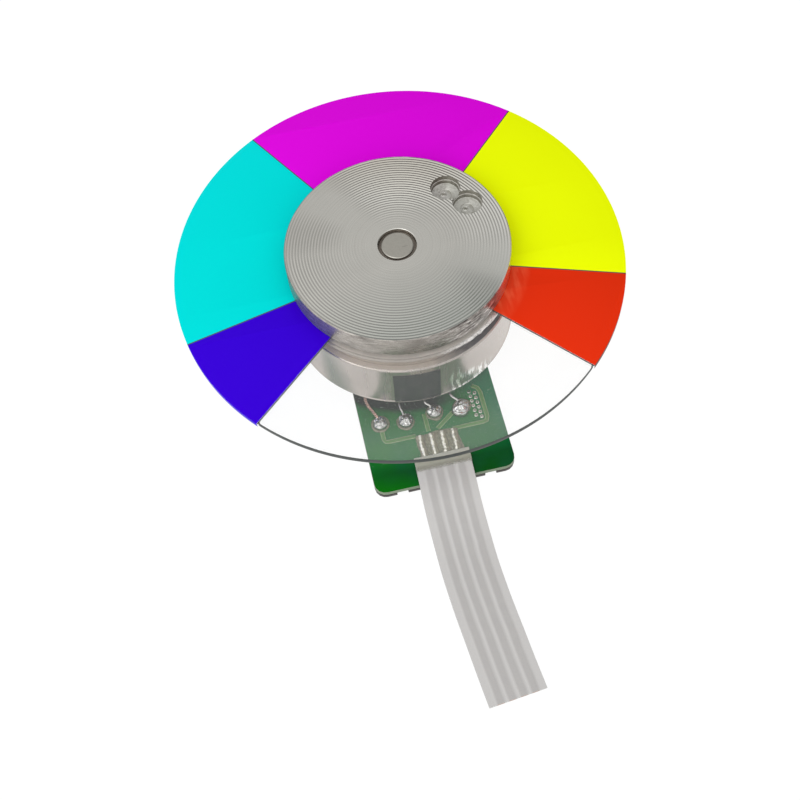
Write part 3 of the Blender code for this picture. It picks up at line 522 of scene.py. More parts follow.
def board_mask():
    """Green solder mask: mottled, with specks of dust, painted light as teal at the right and as brighter
    green at the front-left corner, painted shade outside the glass and a painted shadow under the drum.
    """
    look = Look("board_mask", srgb(14, 105, 34), roughness=0.3, Specular_IOR_Level=0.06)
    x, y, _ = look.axes()
    mottle = look.noise(0.35, 3.0)
    patchy = mottle.ranged(0.35, 0.65)
    look.tint(patchy, 8, 98, 46)
    # Painted light: a lighter teal towards the right, beside the drum.
    look.tint((x + y * 0.5).ranged(-1.8, 0.2, 0.0, 0.75), 6, 108, 74)
    # Painted shade: darker outside the glass.
    look.tint(y.ranged(-15.2, -16.4), look.blended(patchy, srgb(0, 74, 15), srgb(8, 76, 38)))
    # Painted light: a brighter green towards the front-left corner.
    look.tint((y + x * 0.35).ranged(-17.6, -19.6), 0, 102, 4)
    # Painted shadow under the drum's rim, fading out towards the right.
    under = look.radius().ranged(11.05, 10.45)
    look.tint(under * x.ranged(3.2, 0.6), 12, 24, 14)
    specks = look.noise(9.0, 1.0).ranged(0.68, 0.75, 0.0, 0.6)
    look.tint(specks * y.ranged(-15.6, -15.2), 150, 185, 155)
    return look.bump(mottle, 0.004 * MM)


def wound_copper():
    """Enamelled wire, turn beside turn round the tooth, with painted shade between the turns."""
    look = Look("copper", srgb(196, 110, 52), metallic=0.85, roughness=0.3)
    _, _, z = look.axes()
    turns = (look.radius() * (2 * math.pi / 0.16)).math("SINE")
    # Painted shade: darker in the troughs between turns.
    look.tint(turns.ranged(0.2, -1.0), 92, 42, 18)
    look.wire("Roughness", look.noise(4.0, at=z).ranged(0.3, 0.7, 0.25, 0.4))
    return look.bump(turns, 0.03 * MM)


def fluxed_solder():
    """Solder under a film of flux: brown-grey, with bright streaks along the conductors' crests, partly bare
    solder and partly painted highlight.
    """
    look = Look("fluxed_solder", srgb(250, 248, 234), metallic=0.35, roughness=0.14)
    x, _, _ = look.axes()
    shifted = x * (MM / CONDUCTOR_PITCH) + look.noise(1.1, 3.0) * 0.35
    from_crest = abs((shifted + 9.78).math("FRACT") - 0.5)
    streaks = from_crest + look.noise(5.0, 4.0, roughness=0.65).ranged(0.3, 0.7, -0.07, 0.07)
    # Brown-grey away from the streaks; the bright streaks are partly bare solder, partly painted highlight.
    look.tint(streaks.ranged(0.07, 0.13), 136, 132, 108)
    look.wire("Roughness", streaks.ranged(0.05, 0.2, 0.12, 0.4))
    return look.bump(streaks, 0.05 * MM)


def flux_residue():
    """Dried flux: a brown-grey, glossy, uneven crust."""
    settings = {"grit": 0.7, "detail": 5.0, "depth": 0.03 * MM, "roughness": 0.2}
    settings |= {"Coat_Weight": 0.2, "Coat_Roughness": 0.08}
    return mottled("flux", srgb(132, 129, 104), srgb(92, 96, 70), 4.0, (0.4, 0.65), **settings)


def cable_film():
    """White film over four flat conductors: the bands over them are a little darker than the gaps."""
    light = srgb(198, 196, 194)
    look = Look("cable_film", light, roughness=0.38)
    across, along, _ = look.split(look.node("UVMap", uv_map="across"))
    from_middle = (across - 0.5) * (CABLE_WIDTH / CONDUCTOR_PITCH)
    wander = look.node("CombineXYZ", {0: along, 1: from_middle})
    drift = look.noise(0.5, at=wander) - 0.5
    gap = abs((from_middle + drift * 0.12).math("FRACT") - 0.5).ranged(0.22, 0.42)
    edge = abs(from_middle).ranged(1.85, 2.05)
    dark = look.blended(look.noise(1.3, 3.0, at=wander), srgb(183, 181, 178), srgb(177, 174, 173))
    return look.wire("Base Color", look.blended(gap.math("MAXIMUM", edge), dark, light))


def tape_film():
    """Thin rippled film whose outer edge is ragged."""
    look = Look("tape_film", srgb(172, 171, 158), roughness=0.28, Specular_IOR_Level=0.3)
    _, y, _ = look.axes()
    ripple = look.noise(2.2, 4.0, (1.0, 2.0, 1.0))
    look.tint(ripple.ranged(0.4, 0.65), 163, 163, 149)
    look.wire("Alpha", (y + ripple.ranged(0.3, 0.7, -0.05, 0.05)).ranged(-16.95, -16.35, 0.0, 0.95))
    return look.bump(ripple, 0.008 * MM)


def timing_film():
    settings = {"detail": 3.0, "roughness": 0.14, "Specular_IOR_Level": 0.12}
    return mottled("timing_film", srgb(54, 58, 56), srgb(62, 65, 62), 1.6, (0.3, 0.7), **settings)


def polar(radius, angle, centre=(0.0, 0.0)):
    turn = math.radians(angle)
    return (centre[0] + radius * math.cos(turn), centre[1] + radius * math.sin(turn))


def arc(radius, start, end, centre=(0.0, 0.0), step=1.0):
    count = max(1, math.ceil(abs(end - start) / step - 1e-6))
    return [polar(radius, start + (end - start) * i / count, centre) for i in range(count + 1)]


def bearing(place):
    """A place's angle round the spin axis."""
    return math.degrees(math.atan2(place.y, place.x)) % 360.0


def angle_between(first, second):
    return abs((first - second + 180.0) % 360.0 - 180.0)


def half_angle(width, radius):
    return math.degrees(math.asin(width / 2 / radius))


def eased(value, low, high):
    """0 below low, 1 above high and a smooth step between."""
    share = min(1.0, max(0.0, (value - low) / (high - low)))
    return share * share * (3 - 2 * share)


def smooth_through(points, spacing):
    """Points at about an even spacing along a smooth curve through the given ones."""
    first = tuple(2 * a - b for a, b in zip(points[0], points[1]))
    last = tuple(2 * a - b for a, b in zip(points[-1], points[-2]))
    padded = [first, *points, last]
    found = [Vector(points[0])]
    for four in zip(padded, padded[1:], padded[2:], padded[3:]):
        count = max(1, round(math.dist(four[1], four[2]) / spacing))
        for i in range(1, count + 1):
            found.append(Vector([between(*parts, i / count) for parts in zip(*four)]))
    return found


def between(a, b, c, d, share):
    """A value at a share of the way from b to c, on the smooth curve through all four."""
    return b + 0.5 * share * (c - a + share * (2 * a - 5 * b + 4 * c - d + share * (3 * (b - c) + d - a)))


def swept(path):
    """Each point of a path, with its sideways and upward directions and the length from the start."""
    travelled = 0.0
    for before, point, after in zip([path[0], *path], path, [*path[1:], path[-1]]):
        tangent = (after - before).normalized()
        side = tangent.cross(Vector((0.0, 0.0, 1.0))).normalized()
        travelled += (point - before).length
        yield point, side, side.cross(tangent).normalized(), travelled


def add_piece(name, data):
    made = bpy.data.objects.new(name, data)
    bpy.context.scene.collection.objects.link(made)
    return made


def formed(name, form, sharp=180.0, mesh=None):
    """A piece from a form, with smooth sides and with sharp edges above an angle."""
    bmesh.ops.remove_doubles(form, verts=form.verts, dist=MERGE_DISTANCE)
    bmesh.ops.recalc_face_normals(form, faces=form.faces)
    mesh = mesh or bpy.data.meshes.new(name)
    form.to_mesh(mesh)
    form.free()
    mesh.shade_smooth()
    mesh.set_sharp_from_angle(angle=math.radians(sharp))
    return add_piece(name, mesh)


def settle(obj, sharp=SHARP_ANGLE):
    """Turns a curve, or a mesh with modifiers, into a plain mesh where it stands."""
    bpy.context.view_layer.update()
    mesh = bpy.data.meshes.new_from_object(obj.evaluated_get(bpy.context.evaluated_depsgraph_get()))
    form = bmesh.new()
    form.from_mesh(mesh)
    name, stand = obj.name, obj.matrix_world.copy()
    bpy.data.objects.remove(obj, do_unlink=True)
    made = formed(name, form, sharp, mesh)
    mesh.transform(stand)
    return made


def skinned(name, rows, sharp=180.0, caps=()):
    """A piece over closed rows of points. Equal points become one, and the rows named as caps are filled."""
    form = bmesh.new()
    loops = [[form.verts.new(point) for point in row] for row in rows]
    for near, far in zip(loops, loops[1:]):
        for j in range(len(near)):
            form.faces.new((near[j - 1], near[j], far[j], far[j - 1]))
    for row in caps:
        form.faces.new(loops[row])
    return formed(name, form, sharp)


def rounded(piece, width, sharp):
    """Rounds off a piece's sharp edges."""
    bevel = piece.modifiers.new("Round", "BEVEL")
    bevel.width = width
    bevel.segments = 2
    bevel.limit_method = "ANGLE"
    bevel.angle_limit = math.radians(60.0)
    return settle(piece, sharp)


def block(name, size, placing):
    """A block with rounded edges, put in its place by a matrix."""
    form = bmesh.new()
    bmesh.ops.create_cube(form, size=1.0)
    bmesh.ops.scale(form, verts=form.verts, vec=size)
    piece = rounded(formed(name, form), 0.01 * MM, 50.0)
    piece.data.transform(placing)
    return piece


def copied(name, node, rounding):
    """A CAD sheet's own solid as a new piece, with its sharp edges rounded off."""
    mesh = NODES[node].data.copy()
    form = bmesh.new()
    form.from_mesh(mesh)
    bmesh.ops.remove_doubles(form, verts=form.verts, dist=MERGE_DISTANCE)
    bmesh.ops.dissolve_limit(form, angle_limit=math.radians(1.0), verts=form.verts, edges=form.edges)
    form.to_mesh(mesh)
    form.free()
    return rounded(add_piece(name, mesh), rounding, 40.0)


def steps_from(radius, height, steps):
    """Points of a profile, at steps in millimetres from a radius and height."""
    return [(radius + across * MM, height + up * MM) for across, up in steps]


def turned(name, profile, facets=FINE_TURN, centre=(0.0, 0.0), sharp=SHARP_ANGLE):
    """A piece turned about an upright axis, from (radius, height) points that run down its outside."""
    mesh = bpy.data.meshes.new(name)
    edges = [(i, i + 1) for i in range(len(profile) - 1)]
    if profile[0][0] > 0.0:
        edges.append((len(profile) - 1, 0))
    mesh.from_pydata([(radius, 0.0, height) for radius, height in profile], edges, [])
    obj = add_piece(name, mesh)
    obj.location = (*centre, 0.0)
    screw = obj.modifiers.new("Turn", "SCREW")
    screw.steps = screw.render_steps = facets
    screw.use_merge_vertices = True
    screw.merge_threshold = MERGE_DISTANCE
    return settle(obj, sharp)


def add_line(curve, points, closed=False):
    spline = curve.splines.new("POLY")
    spline.points.add(len(points) - 1)
    for point, place in zip(spline.points, points):
        point.co = (*place, 1.0)
    spline.use_cyclic_u = closed


def flat(name, outline, thickness, level, rounding):
    """A sheet with a closed outline, from its level up."""
    curve = bpy.data.curves.new(name, "CURVE")
    curve.dimensions = "2D"
    curve.fill_mode = "BOTH"
    curve.extrude = thickness / 2 - rounding
    curve.bevel_depth = rounding
    curve.bevel_resolution = 1
    curve.offset = -rounding
    add_line(curve, [(*place[:2], 0.0) for place in outline], closed=True)
    obj = add_piece(name, curve)
    obj.location.z = level + thickness / 2
    return settle(obj)


def wires(name, paths, radius, sides):
    """Round wires along paths, as one piece."""
    curve = bpy.data.curves.new(name, "CURVE")
    curve.dimensions = "3D"
    curve.bevel_depth = radius
    curve.bevel_resolution = sides
    curve.use_fill_caps = True
    for path in paths:
        add_line(curve, path)
    return settle(add_piece(name, curve))


def dress(mesh, *looks):
    mesh.materials.clear()
    for look in looks:
        mesh.materials.append(look.material)


def finish(piece, body, looks, slot, *nodes):
    """Gives a piece its looks and body, and hides the solids that it stands for. The slot is not used."""
    dress(piece.data, *(looks if isinstance(looks, tuple) else (looks,)))
    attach(piece, body)
    if nodes:
        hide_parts(*nodes)
    return piece


def make_camera():
    data = bpy.data.cameras.new("camera")
    data.lens = CAMERA_LENS
    data.sensor_width = CAMERA_SENSOR
    data.clip_start = 1 * MM
    camera = add_piece("camera", data)
    right = Vector(CAMERA_RIGHT).normalized()
    back = right.cross(Vector(CAMERA_UP).normalized()).normalized()
    turn = Matrix((right, back.cross(right), back)).transposed()
    camera.matrix_world = Matrix.Translation(CAMERA_PLACE) @ turn.to_4x4()
    bpy.context.scene.camera = camera


def ribbon_cable():
    """The flat cable, swept along its route. Its section swells a little over each conductor."""
    shares = [i / CABLE_SAMPLES for i in range(CABLE_SAMPLES + 1)]
    section = [(share, cable_swell(share)) for share in shares] + [(1.0 + CABLE_EDGE, 0.0)]
    section += [(share, -height) for share, height in section[-2::-1]] + [(-CABLE_EDGE, 0.0)]
    sweep = list(swept(smooth_through([Vector(point) * MM for point in CABLE_ROUTE], CABLE_STEP)))
    rows = [
        [point + side * (share - 0.5) * CABLE_WIDTH * 0.99 + upward * height for share, height in section]
        for point, side, upward, _ in sweep
    ]
    cable = skinned("flat_cable", rows, 40.0, (0, -1))
    layer = cable.data.uv_layers.new(name="across")
    for loop in cable.data.loops:
        row, spot = divmod(loop.vertex_index, len(section))
        layer.data[loop.index].uv = (section[spot][0], sweep[row][3] / MM)
    finish(cable, "base", cable_film(), "cable", "ribbon_cable")
    cut_ends(sweep)


def cable_swell(share):
    """Half the film's thickness at a share of its width."""
    place = (share - 0.5) * CABLE_WIDTH / CONDUCTOR_PITCH
    over_conductor = 1.0 - eased(abs((place % 1.0) - 0.5), 0.3, 0.42)
    inside = 1.0 - eased(abs(place), 1.95, 2.1)
    return CABLE_THICKNESS / 2 - CONDUCTOR_RELIEF * (1.0 - over_conductor * inside)


def cut_ends(sweep):
    """The conductors' bright cut ends, flush with the cable's far end."""
    end, side, _, _ = sweep[-1]
    tangent = (end - sweep[-2][0]).normalized()
    turn = Matrix.Rotation(math.atan2(tangent.x, -tangent.y), 4, "Z")
    copper = plain_metal("cut_copper", srgb(205, 140, 96), 0.3)
    for i in range(CONDUCTOR_COUNT):
        place = (i - (CONDUCTOR_COUNT - 1) / 2) * CONDUCTOR_PITCH
        middle = end - side * place - tangent * 0.045 * MM
        bar = block(f"cut_conductor_{i + 1}", CUT_END_SIZE, Matrix.Translation(middle) @ turn)
        finish(bar, "base", copper, "solder")


def filter_glass():
    """Six segments, each with ground edges, and the dark lines where they meet."""
    clear = clear_glass()
    looks = {
        "magenta": coloured_glass("magenta_glass", srgb(219, 5, 219)),
        "cyan": coloured_glass("cyan_glass", srgb(0, 221, 220)),
        "blue": coloured_glass("blue_glass", srgb(55, 0, 213)),
        "clear": clear,
        # The red glass has a painted reflection and painted light beside the cap.
        "red": coloured_glass("red_glass", srgb(226, 48, 14), srgb(242, 94, 60)),
        "yellow": coloured_glass("yellow_glass", srgb(238, 253, 3)),
    }
    edges = {
        "clear": glass_edge("glass_rim_edge", srgb(72, 76, 74)),
        "red": glass_edge("red_rim_edge", srgb(104, 52, 36)),
    }
    body = bare_glass("glass_body", (0.04, 0.12), Alpha=0.05)
    joint_look = plain_surface("joint_line", srgb(74, 76, 72), 0.5)
    low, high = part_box("clear_segment")
    outer = -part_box("cyan_segment")[0].x
    inner = GLASS_BORE / 2
    names, starts = list(SEGMENTS), list(SEGMENTS.values())
    for i, (name, start) in enumerate(SEGMENTS.items()):
        end = starts[(i + 1) % len(starts)]
        end += 360.0 if end < start else 0.0
        reach = outer - CLEAR_SETBACK if name == "clear" else outer
        trim_outer, trim_inner = half_angle(SEGMENT_GAP, outer), half_angle(SEGMENT_GAP, inner)
        outline = arc(reach, start + trim_outer, end - trim_outer)
        outline += arc(inner, end - trim_inner, start + trim_inner)
        piece = flat(f"{name}_filter", outline, high.z - low.z, low.z, GLASS_EDGE_ROUNDING)
        own = (looks[name], edges.get(name, looks[name]), clear if name == "clear" else body)
        finish(piece, "rotor", own, f"{name}_glass", f"{name}_segment")
        for face in piece.data.polygons:
            face.material_index = glass_face(name, face, reach, inner)
        beside_clear = "clear" in (name, names[i - 1])
        segment_joint(i + 1, start, inner, outer - (CLEAR_SETBACK if beside_clear else 0.0), joint_look)


def glass_face(name, face, reach, inner):
    """A face's look: 0 for the coating, 1 for the ground rim, 2 for bare glass beside the clear segment."""
    from_axis = face.center.xy.length
    if abs(face.normal.z) < 0.9 and from_axis > reach - 0.05 * MM:
        return 1
    if name not in CLEAR_ENDS:
        return 0
    beside = name == "clear" or angle_between(bearing(face.center), CLEAR_ENDS[name]) < 1.0
    bare_end = beside and abs(face.normal.z) < 0.5 and from_axis > inner + 0.05 * MM
    return 2 if bare_end or face.normal.z < -0.5 else 0


def segment_joint(number, angle, inner, tip, look):
    """The dark line between two segments, and its plug at the rim."""
    low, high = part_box("clear_segment")
    outer = -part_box("cyan_segment")[0].x
    bars = {
        "joint": (inner, outer - 0.005 * MM, 0.05 * MM),
        "joint_end": (tip - 0.13 * MM, tip - 0.01 * MM, high.z - low.z - 0.02 * MM),
    }
    turn = Matrix.Rotation(math.radians(angle), 4, "Z")
    for kind, (near, far, tall) in bars.items():
        middle = Matrix.Translation(((far + near) / 2, 0.0, high.z - 0.005 * MM - tall / 2))
        bar = block(f"segment_{kind}_{number}", (far - near, JOINT_WIDTH, tall), turn @ middle)
        finish(bar, "rotor", look, "adhesive")


def turned_cap():
    """The balance cap, with the tool's rings cut in its face and two drilled pockets."""
    low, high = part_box("balance_cap")
    profile = [(CAP_HOLE_RADIUS, high.z - 0.05 * MM), (CAP_HOLE_RADIUS + 0.05 * MM, high.z)]
    step = GROOVE_PITCH / GROOVE_SAMPLES
    for i in range(int((GROOVE_START - CAP_HOLE_RADIUS - 0.1 * MM) / step), -1, -1):
        wave = 1.0 - abs(2.0 * ((i / GROOVE_SAMPLES) % 1.0) - 1.0)
        profile.append((GROOVE_START - i * step, high.z - GROOVE_DEPTH * wave))
    third = CAP_CHAMFER / 3
    profile += [(CAP_RIM, high.z), (CAP_RADIUS - third, high.z - third), (CAP_RADIUS, high.z - CAP_CHAMFER)]
    profile += [(CAP_RADIUS, low.z), (GLASS_BORE / 2, low.z)]
    profile += [(GLASS_BORE / 2, low.z + CAP_RECESS), (CAP_HOLE_RADIUS, low.z + CAP_RECESS)]
    cap = turned("turned_cap", profile)
    first_ring = CAP_HOLE_RADIUS + 0.06 * MM
    for vertex in cap.data.vertices:
        from_axis = vertex.co.xy.length
        if first_ring < from_axis < CAP_RIM - 0.01 * MM and vertex.co.z > low.z + 1.0 * MM:
            vertex.co.z = high.z - (high.z - vertex.co.z) * groove_share(bearing(vertex.co), from_axis)
    places = [Vector(polar(*pocket)) for pocket in POCKETS]
    cap = drill_pockets(cap, places, high.z)
    for edge in cap.data.edges:
        near, far = (cap.data.vertices[i].co for i in edge.vertices)
        level = abs(near.xy.length - far.xy.length) < 0.002 * MM and near.z > high.z - 1.4 * GROOVE_DEPTH
        if level and first_ring < near.xy.length < CAP_RIM:
            edge.use_edge_sharp = True
    looks = (
        cap_face(),
        cap_side(),
        drilled_aluminium("pocket_floor", srgb(206, 204, 198), srgb(178, 175, 169)),
        # The pockets' wall and ledge are darker copies of the floor's metal: painted shade.
        drilled_aluminium("pocket_wall_shaded", srgb(152, 145, 138), srgb(124, 117, 110)),
        drilled_aluminium("pocket_ledge_shaded", srgb(184, 179, 173), srgb(160, 154, 148)),
    )
    finish(cap, "rotor", looks, "cap_aluminium", "balance_cap")
    for face in cap.data.polygons:
        face.material_index = cap_region(face, places, high.z)


def cap_region(face, places, top):
    """A face's look: 0 for the cap's face, 1 for its wall, then the pockets' floor, and their wall and ledge
    in painted shade.
    """
    spot = face.center
    away = min((spot.xy - place).length for place in places)
    if away >= POCKET_RADIUS + 0.09 * MM:
        return 1 if spot.xy.length > CAP_RIM else 0
    if spot.z >= top - 1.4 * GROOVE_DEPTH:
        return 0
    if abs(face.normal.z) < 0.6 and away > POCKET_RADIUS / 2:
        return 3
    return 4 if spot.z > top - 0.6 * MM else 2


def groove_share(angle, radius):
    """How deep the tool's rings are at a place: fading inwards, deeper at the back, and changed in wedges."""
    back = math.sin(math.radians(angle))
    behind = max(back, 0.0)
    depth = 0.80 + 0.45 * behind ** 2 + 0.06 * (back - behind)
    share = depth * (0.05 + 0.95 * eased(radius / MM, 2.65 - 0.7 * back, 9.5 - 3.2 * behind))
    for middle, core, reach, factor in GROOVE_WEDGES:
        share *= factor + (1.0 - factor) * eased(angle_between(angle, middle), core, reach)
    return share


def drill_pockets(cap, places, top):
    drills = [pocket_drill(f"drill_{i + 1}", place, top) for i, place in enumerate(places)]
    for drill in drills:
        cut = cap.modifiers.new(drill.name, "BOOLEAN")
        cut.operation = "DIFFERENCE"
        cut.object = drill
    cap = settle(cap)
    for drill in drills:
        bpy.data.objects.remove(drill, do_unlink=True)
    return cap


def pocket_drill(name, place, top):
    """A drill with the blunt cone, small pilot point and faint step that it leaves in the pocket's floor."""
    wall = POCKET_RADIUS - 0.11 * MM
    profile = [(0.0, top + 1.0 * MM), *steps_from(POCKET_RADIUS, top, DRILL_WALL)]
    profile += steps_from(0.0, top - POCKET_DEPTH, DRILL_FLOOR)
    drill = turned(name, profile, DRILL_TURN, place)
    for vertex in drill.data.vertices:
        away = vertex.co.xy - place
        if away.length > wall / 2:
            outward = away.normalized()
            burr = 0.008 + 0.07 * eased(-outward.y, 0.3, 0.95)
            push = 0.03 * noise.noise(vertex.co / MM * 2.1) + burr * noise.noise(vertex.co / MM * 5.0)
            vertex.co.xy += outward * push * MM
        else:
            vertex.co.xy += POCKET_MARK * min(1.0, 2.0 - 2.0 * away.length / (wall / 2))
    return drill


def turned_hub():
    """The hub: its spigot shows in the cap's hole, its lip and neck between glass and drum."""
    low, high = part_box("rotor_hub")
    cup_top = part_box("rotor_cup")[1].z
    lip_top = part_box("glass_adhesive")[1].z - 0.09 * MM
    radius = -low.x
    register = GLASS_BORE / 2 - 0.03 * MM
    register_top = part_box("clear_segment")[1].z + 0.25 * MM
    neck_foot = cup_top + 0.03 * MM
    bore, bore_end = 1.03 * MM, cup_top + 2.26 * MM
    profile = steps_from(0.0, high.z, HUB_SPIGOT)
    profile += [(profile[-1][0], register_top), (register, register_top), (register, lip_top)]
    profile += steps_from(radius, lip_top, HUB_LIP)
    profile += [(profile[-1][0], neck_foot), (2.5 * MM, neck_foot), (2.5 * MM, low.z)]
    profile += [(bore, low.z), (bore, bore_end), (0.0, bore_end)]
    looks = (
        turned_aluminium("hub_aluminium", srgb(196, 188, 180), 0.24, 5.0),
        # The neck's metal, with painted shade on one side.
        shaded_neck_metal("shaded_neck_metal", srgb(168, 157, 147)),
        # The spigot's side in the cap's hole: a darker copy of the hub's metal, painted shade.
        plain_metal("spigot_gap_shade", srgb(128, 120, 112), 0.5),
        spigot_face(),
    )
    hub = finish(turned("turned_hub", profile), "rotor", looks, "hub_aluminium", "rotor_hub")
    for face in hub.data.polygons:
        spot = face.center
        if spot.xy.length > 5.0 * MM and spot.z < lip_top - 0.42 * MM:
            face.material_index = 1
        elif spot.xy.length < 1.72 * MM and spot.z > register_top:
            face.material_index = 2 if spot.z < high.z - 0.06 * MM else 3


def drawn_cup():
    """The polished drum, with a rounded shoulder and an open, slightly flared lower end."""
    low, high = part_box("rotor_cup")
    radius = -low.x
    roof = high.z - 0.60 * MM
    inner = radius - CUP_WALL
    profile = [
        (CUP_HOLE_RADIUS, high.z),
        *arc(CUP_CORNER, 90.0, 0.0, (radius - CUP_CORNER, high.z - CUP_CORNER), 7.5),
        *steps_from(radius, low.z, CUP_LIP),
        *arc(CUP_CORNER / 2, 0.0, 90.0, (inner - CUP_CORNER / 2, roof - CUP_CORNER / 2), 15.0),
        (CUP_HOLE_RADIUS, roof),
    ]
    # The drum's top face: the neck's metal in a paler colour, painted light, with the same painted shade on
    # one side.
    looks = (polished_steel(), shaded_neck_metal("cup_top_metal", srgb(218, 208, 198)))
    cup = finish(turned("drawn_cup", profile, sharp=50.0), "rotor", looks, "cup_steel", "rotor_cup")
    for face in cup.data.polygons:
        face.material_index = int(face.center.z > high.z - 0.01 * MM)


def timing_patch():
    """The glossy black patch on the drum."""
    low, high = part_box("timing_mark")
    inner = -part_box("rotor_cup")[0].x + 0.012 * MM
    end = MARK_START + MARK_SWEEP
    outline = arc(inner + 0.06 * MM, MARK_START, end, step=0.75) + arc(inner, end, MARK_START, step=0.75)
    patch = flat("timing_patch", outline, high.z - low.z, low.z, 0.01 * MM)
    finish(patch, "rotor", timing_film(), "mark", "timing_mark")


def adhesive_bead():
    """The adhesive pushed out between glass and lip: smooth at the left, crazed and lumpy at the right."""
    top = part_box("glass_adhesive")[1].z
    lip = -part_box("rotor_hub")[0].x + 0.01 * MM
    rows = []
    for i in range(BEAD_STEPS + 1):
        angle = 360.0 * (i % BEAD_STEPS) / BEAD_STEPS
        from_front = (angle - 270.0 + 180.0) % 360.0 - 180.0
        rough = 0.25 + 0.75 * eased(from_front, -8.0, 6.0) * (1.0 - eased(from_front, 50.0, 70.0))
        row = [(*polar(lip, angle), top)]
        for j in range(BEAD_ACROSS + 1):
            turn = math.radians(70.0 - 160.0 * j / BEAD_ACROSS)
            lump = noise.fractal(Vector((*polar(lip / MM * 2.2, angle), j * 0.5)), 0.6, 2.2, 4) * rough
            swell = 0.80 + 0.20 * lump
            reach = max(BEAD_WIDTH * swell * math.cos(turn), 0.0)
            fall = BEAD_DROP * swell * (math.sin(turn) - 1.0) / 2
            row.append((*polar(lip + reach, angle), top + min(fall, 0.0)))
        rows.append(row)
    finish(skinned("adhesive_bead", rows, 60.0), "rotor", adhesive_look(), "adhesive", "glass_adhesive")
    bore = GLASS_BORE / 2 - 0.02 * MM
    floor = top - 0.08 * MM
    film = turned("adhesive_film", [(bore, top), (lip, top), (lip, floor), (bore, floor)])
    # Painted light: the film's colour is brightened to lift the shade it lies in under the cap.
    finish(film, "rotor", plain_surface("adhesive_film", srgb(208, 199, 190), 0.35, 1.5), "adhesive")


def board():
    """The circuit board with its pale cut sides, and the plate below it."""
    steel = plain_metal("plate_steel", srgb(74, 70, 67), 0.34)
    finish(copied("plate", "base_plate", 0.04 * MM), "base", steel, "plate_steel", "base_plate")
    looks = (board_mask(), plain_surface("board_edge", srgb(132, 146, 122), 0.6))
    piece = finish(copied("board", "circuit_board", 0.03 * MM), "base", looks, "board", "circuit_board")
    for face in piece.data.polygons:
        face.material_index = int(abs(face.normal.z) < 0.4)


def board_details():
    """Printed tracks under the mask, each on a paler strip whose edges are a painted highlight."""
    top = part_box("circuit_board")[1].z
    track = plain_surface("board_track", srgb(88, 132, 70), 0.3, share=0.86, Specular_IOR_Level=0.15)
    # Painted highlight: the paler, wider strip under each track.
    edge_glint = plain_surface("track_edge_glint", srgb(148, 168, 122), 0.3, 5.0, 0.5, Specular_IOR_Level=0.15)
    for i, route in enumerate(TRACKS):
        points = [Vector((*point, 0.0)) * MM for point in route]
        strip(f"track_edge_glint_{i + 1}", points, 0.40 * MM, top - 0.005 * MM, edge_glint)
        strip(f"track_{i + 1}", points, 0.27 * MM, top + 0.003 * MM, track)


def strip(name, points, width, level, look):
    """A flat printed track along points."""
    left, right = [], []
    for point, side, _, _ in swept(points):
        left.append(point - side * width / 2)
        right.append(point + side * width / 2)
    height = 0.03 * MM
    finish(flat(name, left + right[::-1], height, level, height / 3), "base", look, "board")


def heap(name, centre, level, height, reach, tail=(0.0, 0.0), lumps=0.10, rim=0.0, rings=18, steps=60):
    """A low heap of solder or flux: domed and uneven, with a raised rim and a tail where asked."""
    seed = Vector((centre[0] / MM * 3.1, centre[1] / MM * 2.3, height / MM * 5.0))
    rows = [[(*centre, level + height)] * steps]
    for i in range(1, rings + 1):
        share = i / rings
        row = []
        for j in range(steps):
            out = Vector(polar(1.0, 360.0 * j / steps))
            wobble = 1.0 + 0.12 * noise.noise(Vector((*(out * 1.3), 0.0)) + seed)
            spot = out * share * (reach * wobble + max(0.0, out.dot(Vector(tail))))
            ripple = noise.fractal(Vector((*spot, 0.0)) / MM * 2.6 + seed, 0.7, 2.1, 4)
            dome = (1.0 - share ** 2.2) ** 0.75
            edge = rim * math.exp(-(((share - 0.86) / 0.07) ** 2))
            lift = max(height * (dome * (1.0 + lumps * 2.0 * ripple) + edge), 0.0)
            row.append((centre[0] + spot.x, centre[1] + spot.y, level + lift))
        rows.append(row)
    return skinned(name, rows, caps=(-1,))


def solder_joints():
    """Four domed joints, each in a ring of flux. The fourth has a tail towards its track."""
    settings = {"grit": 0.65, "gloss": (0.35, 0.7, 0.12, 0.35), "metallic": 1.0, "depth": 0.015 * MM}
    solder = mottled("solder", srgb(205, 205, 202), srgb(120, 118, 112), 5.0, (0.45, 0.7), **settings)
    flux = flux_residue()
    for i, (joint, joint_tail) in enumerate(zip(JOINT_PLACES, JOINT_TAILS)):
        low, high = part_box(f"solder_joint_{i + 1}")
        place, tail = (tuple(part * MM for part in pair) for pair in (joint, joint_tail))
        reach = (high.x - low.x) / 2
        foot = low.z - 0.02 * MM
        ring = heap(f"joint_flux_{i + 1}", place, foot, 0.10 * MM, reach * 1.24, lumps=0.3, rim=0.8)
        finish(ring, "base", flux, "board")
        blob = heap(f"joint_{i + 1}", place, low.z, high.z - low.z, reach, tail, lumps=0.16, rim=0.22)
        finish(blob, "base", solder, "solder", f"solder_joint_{i + 1}")


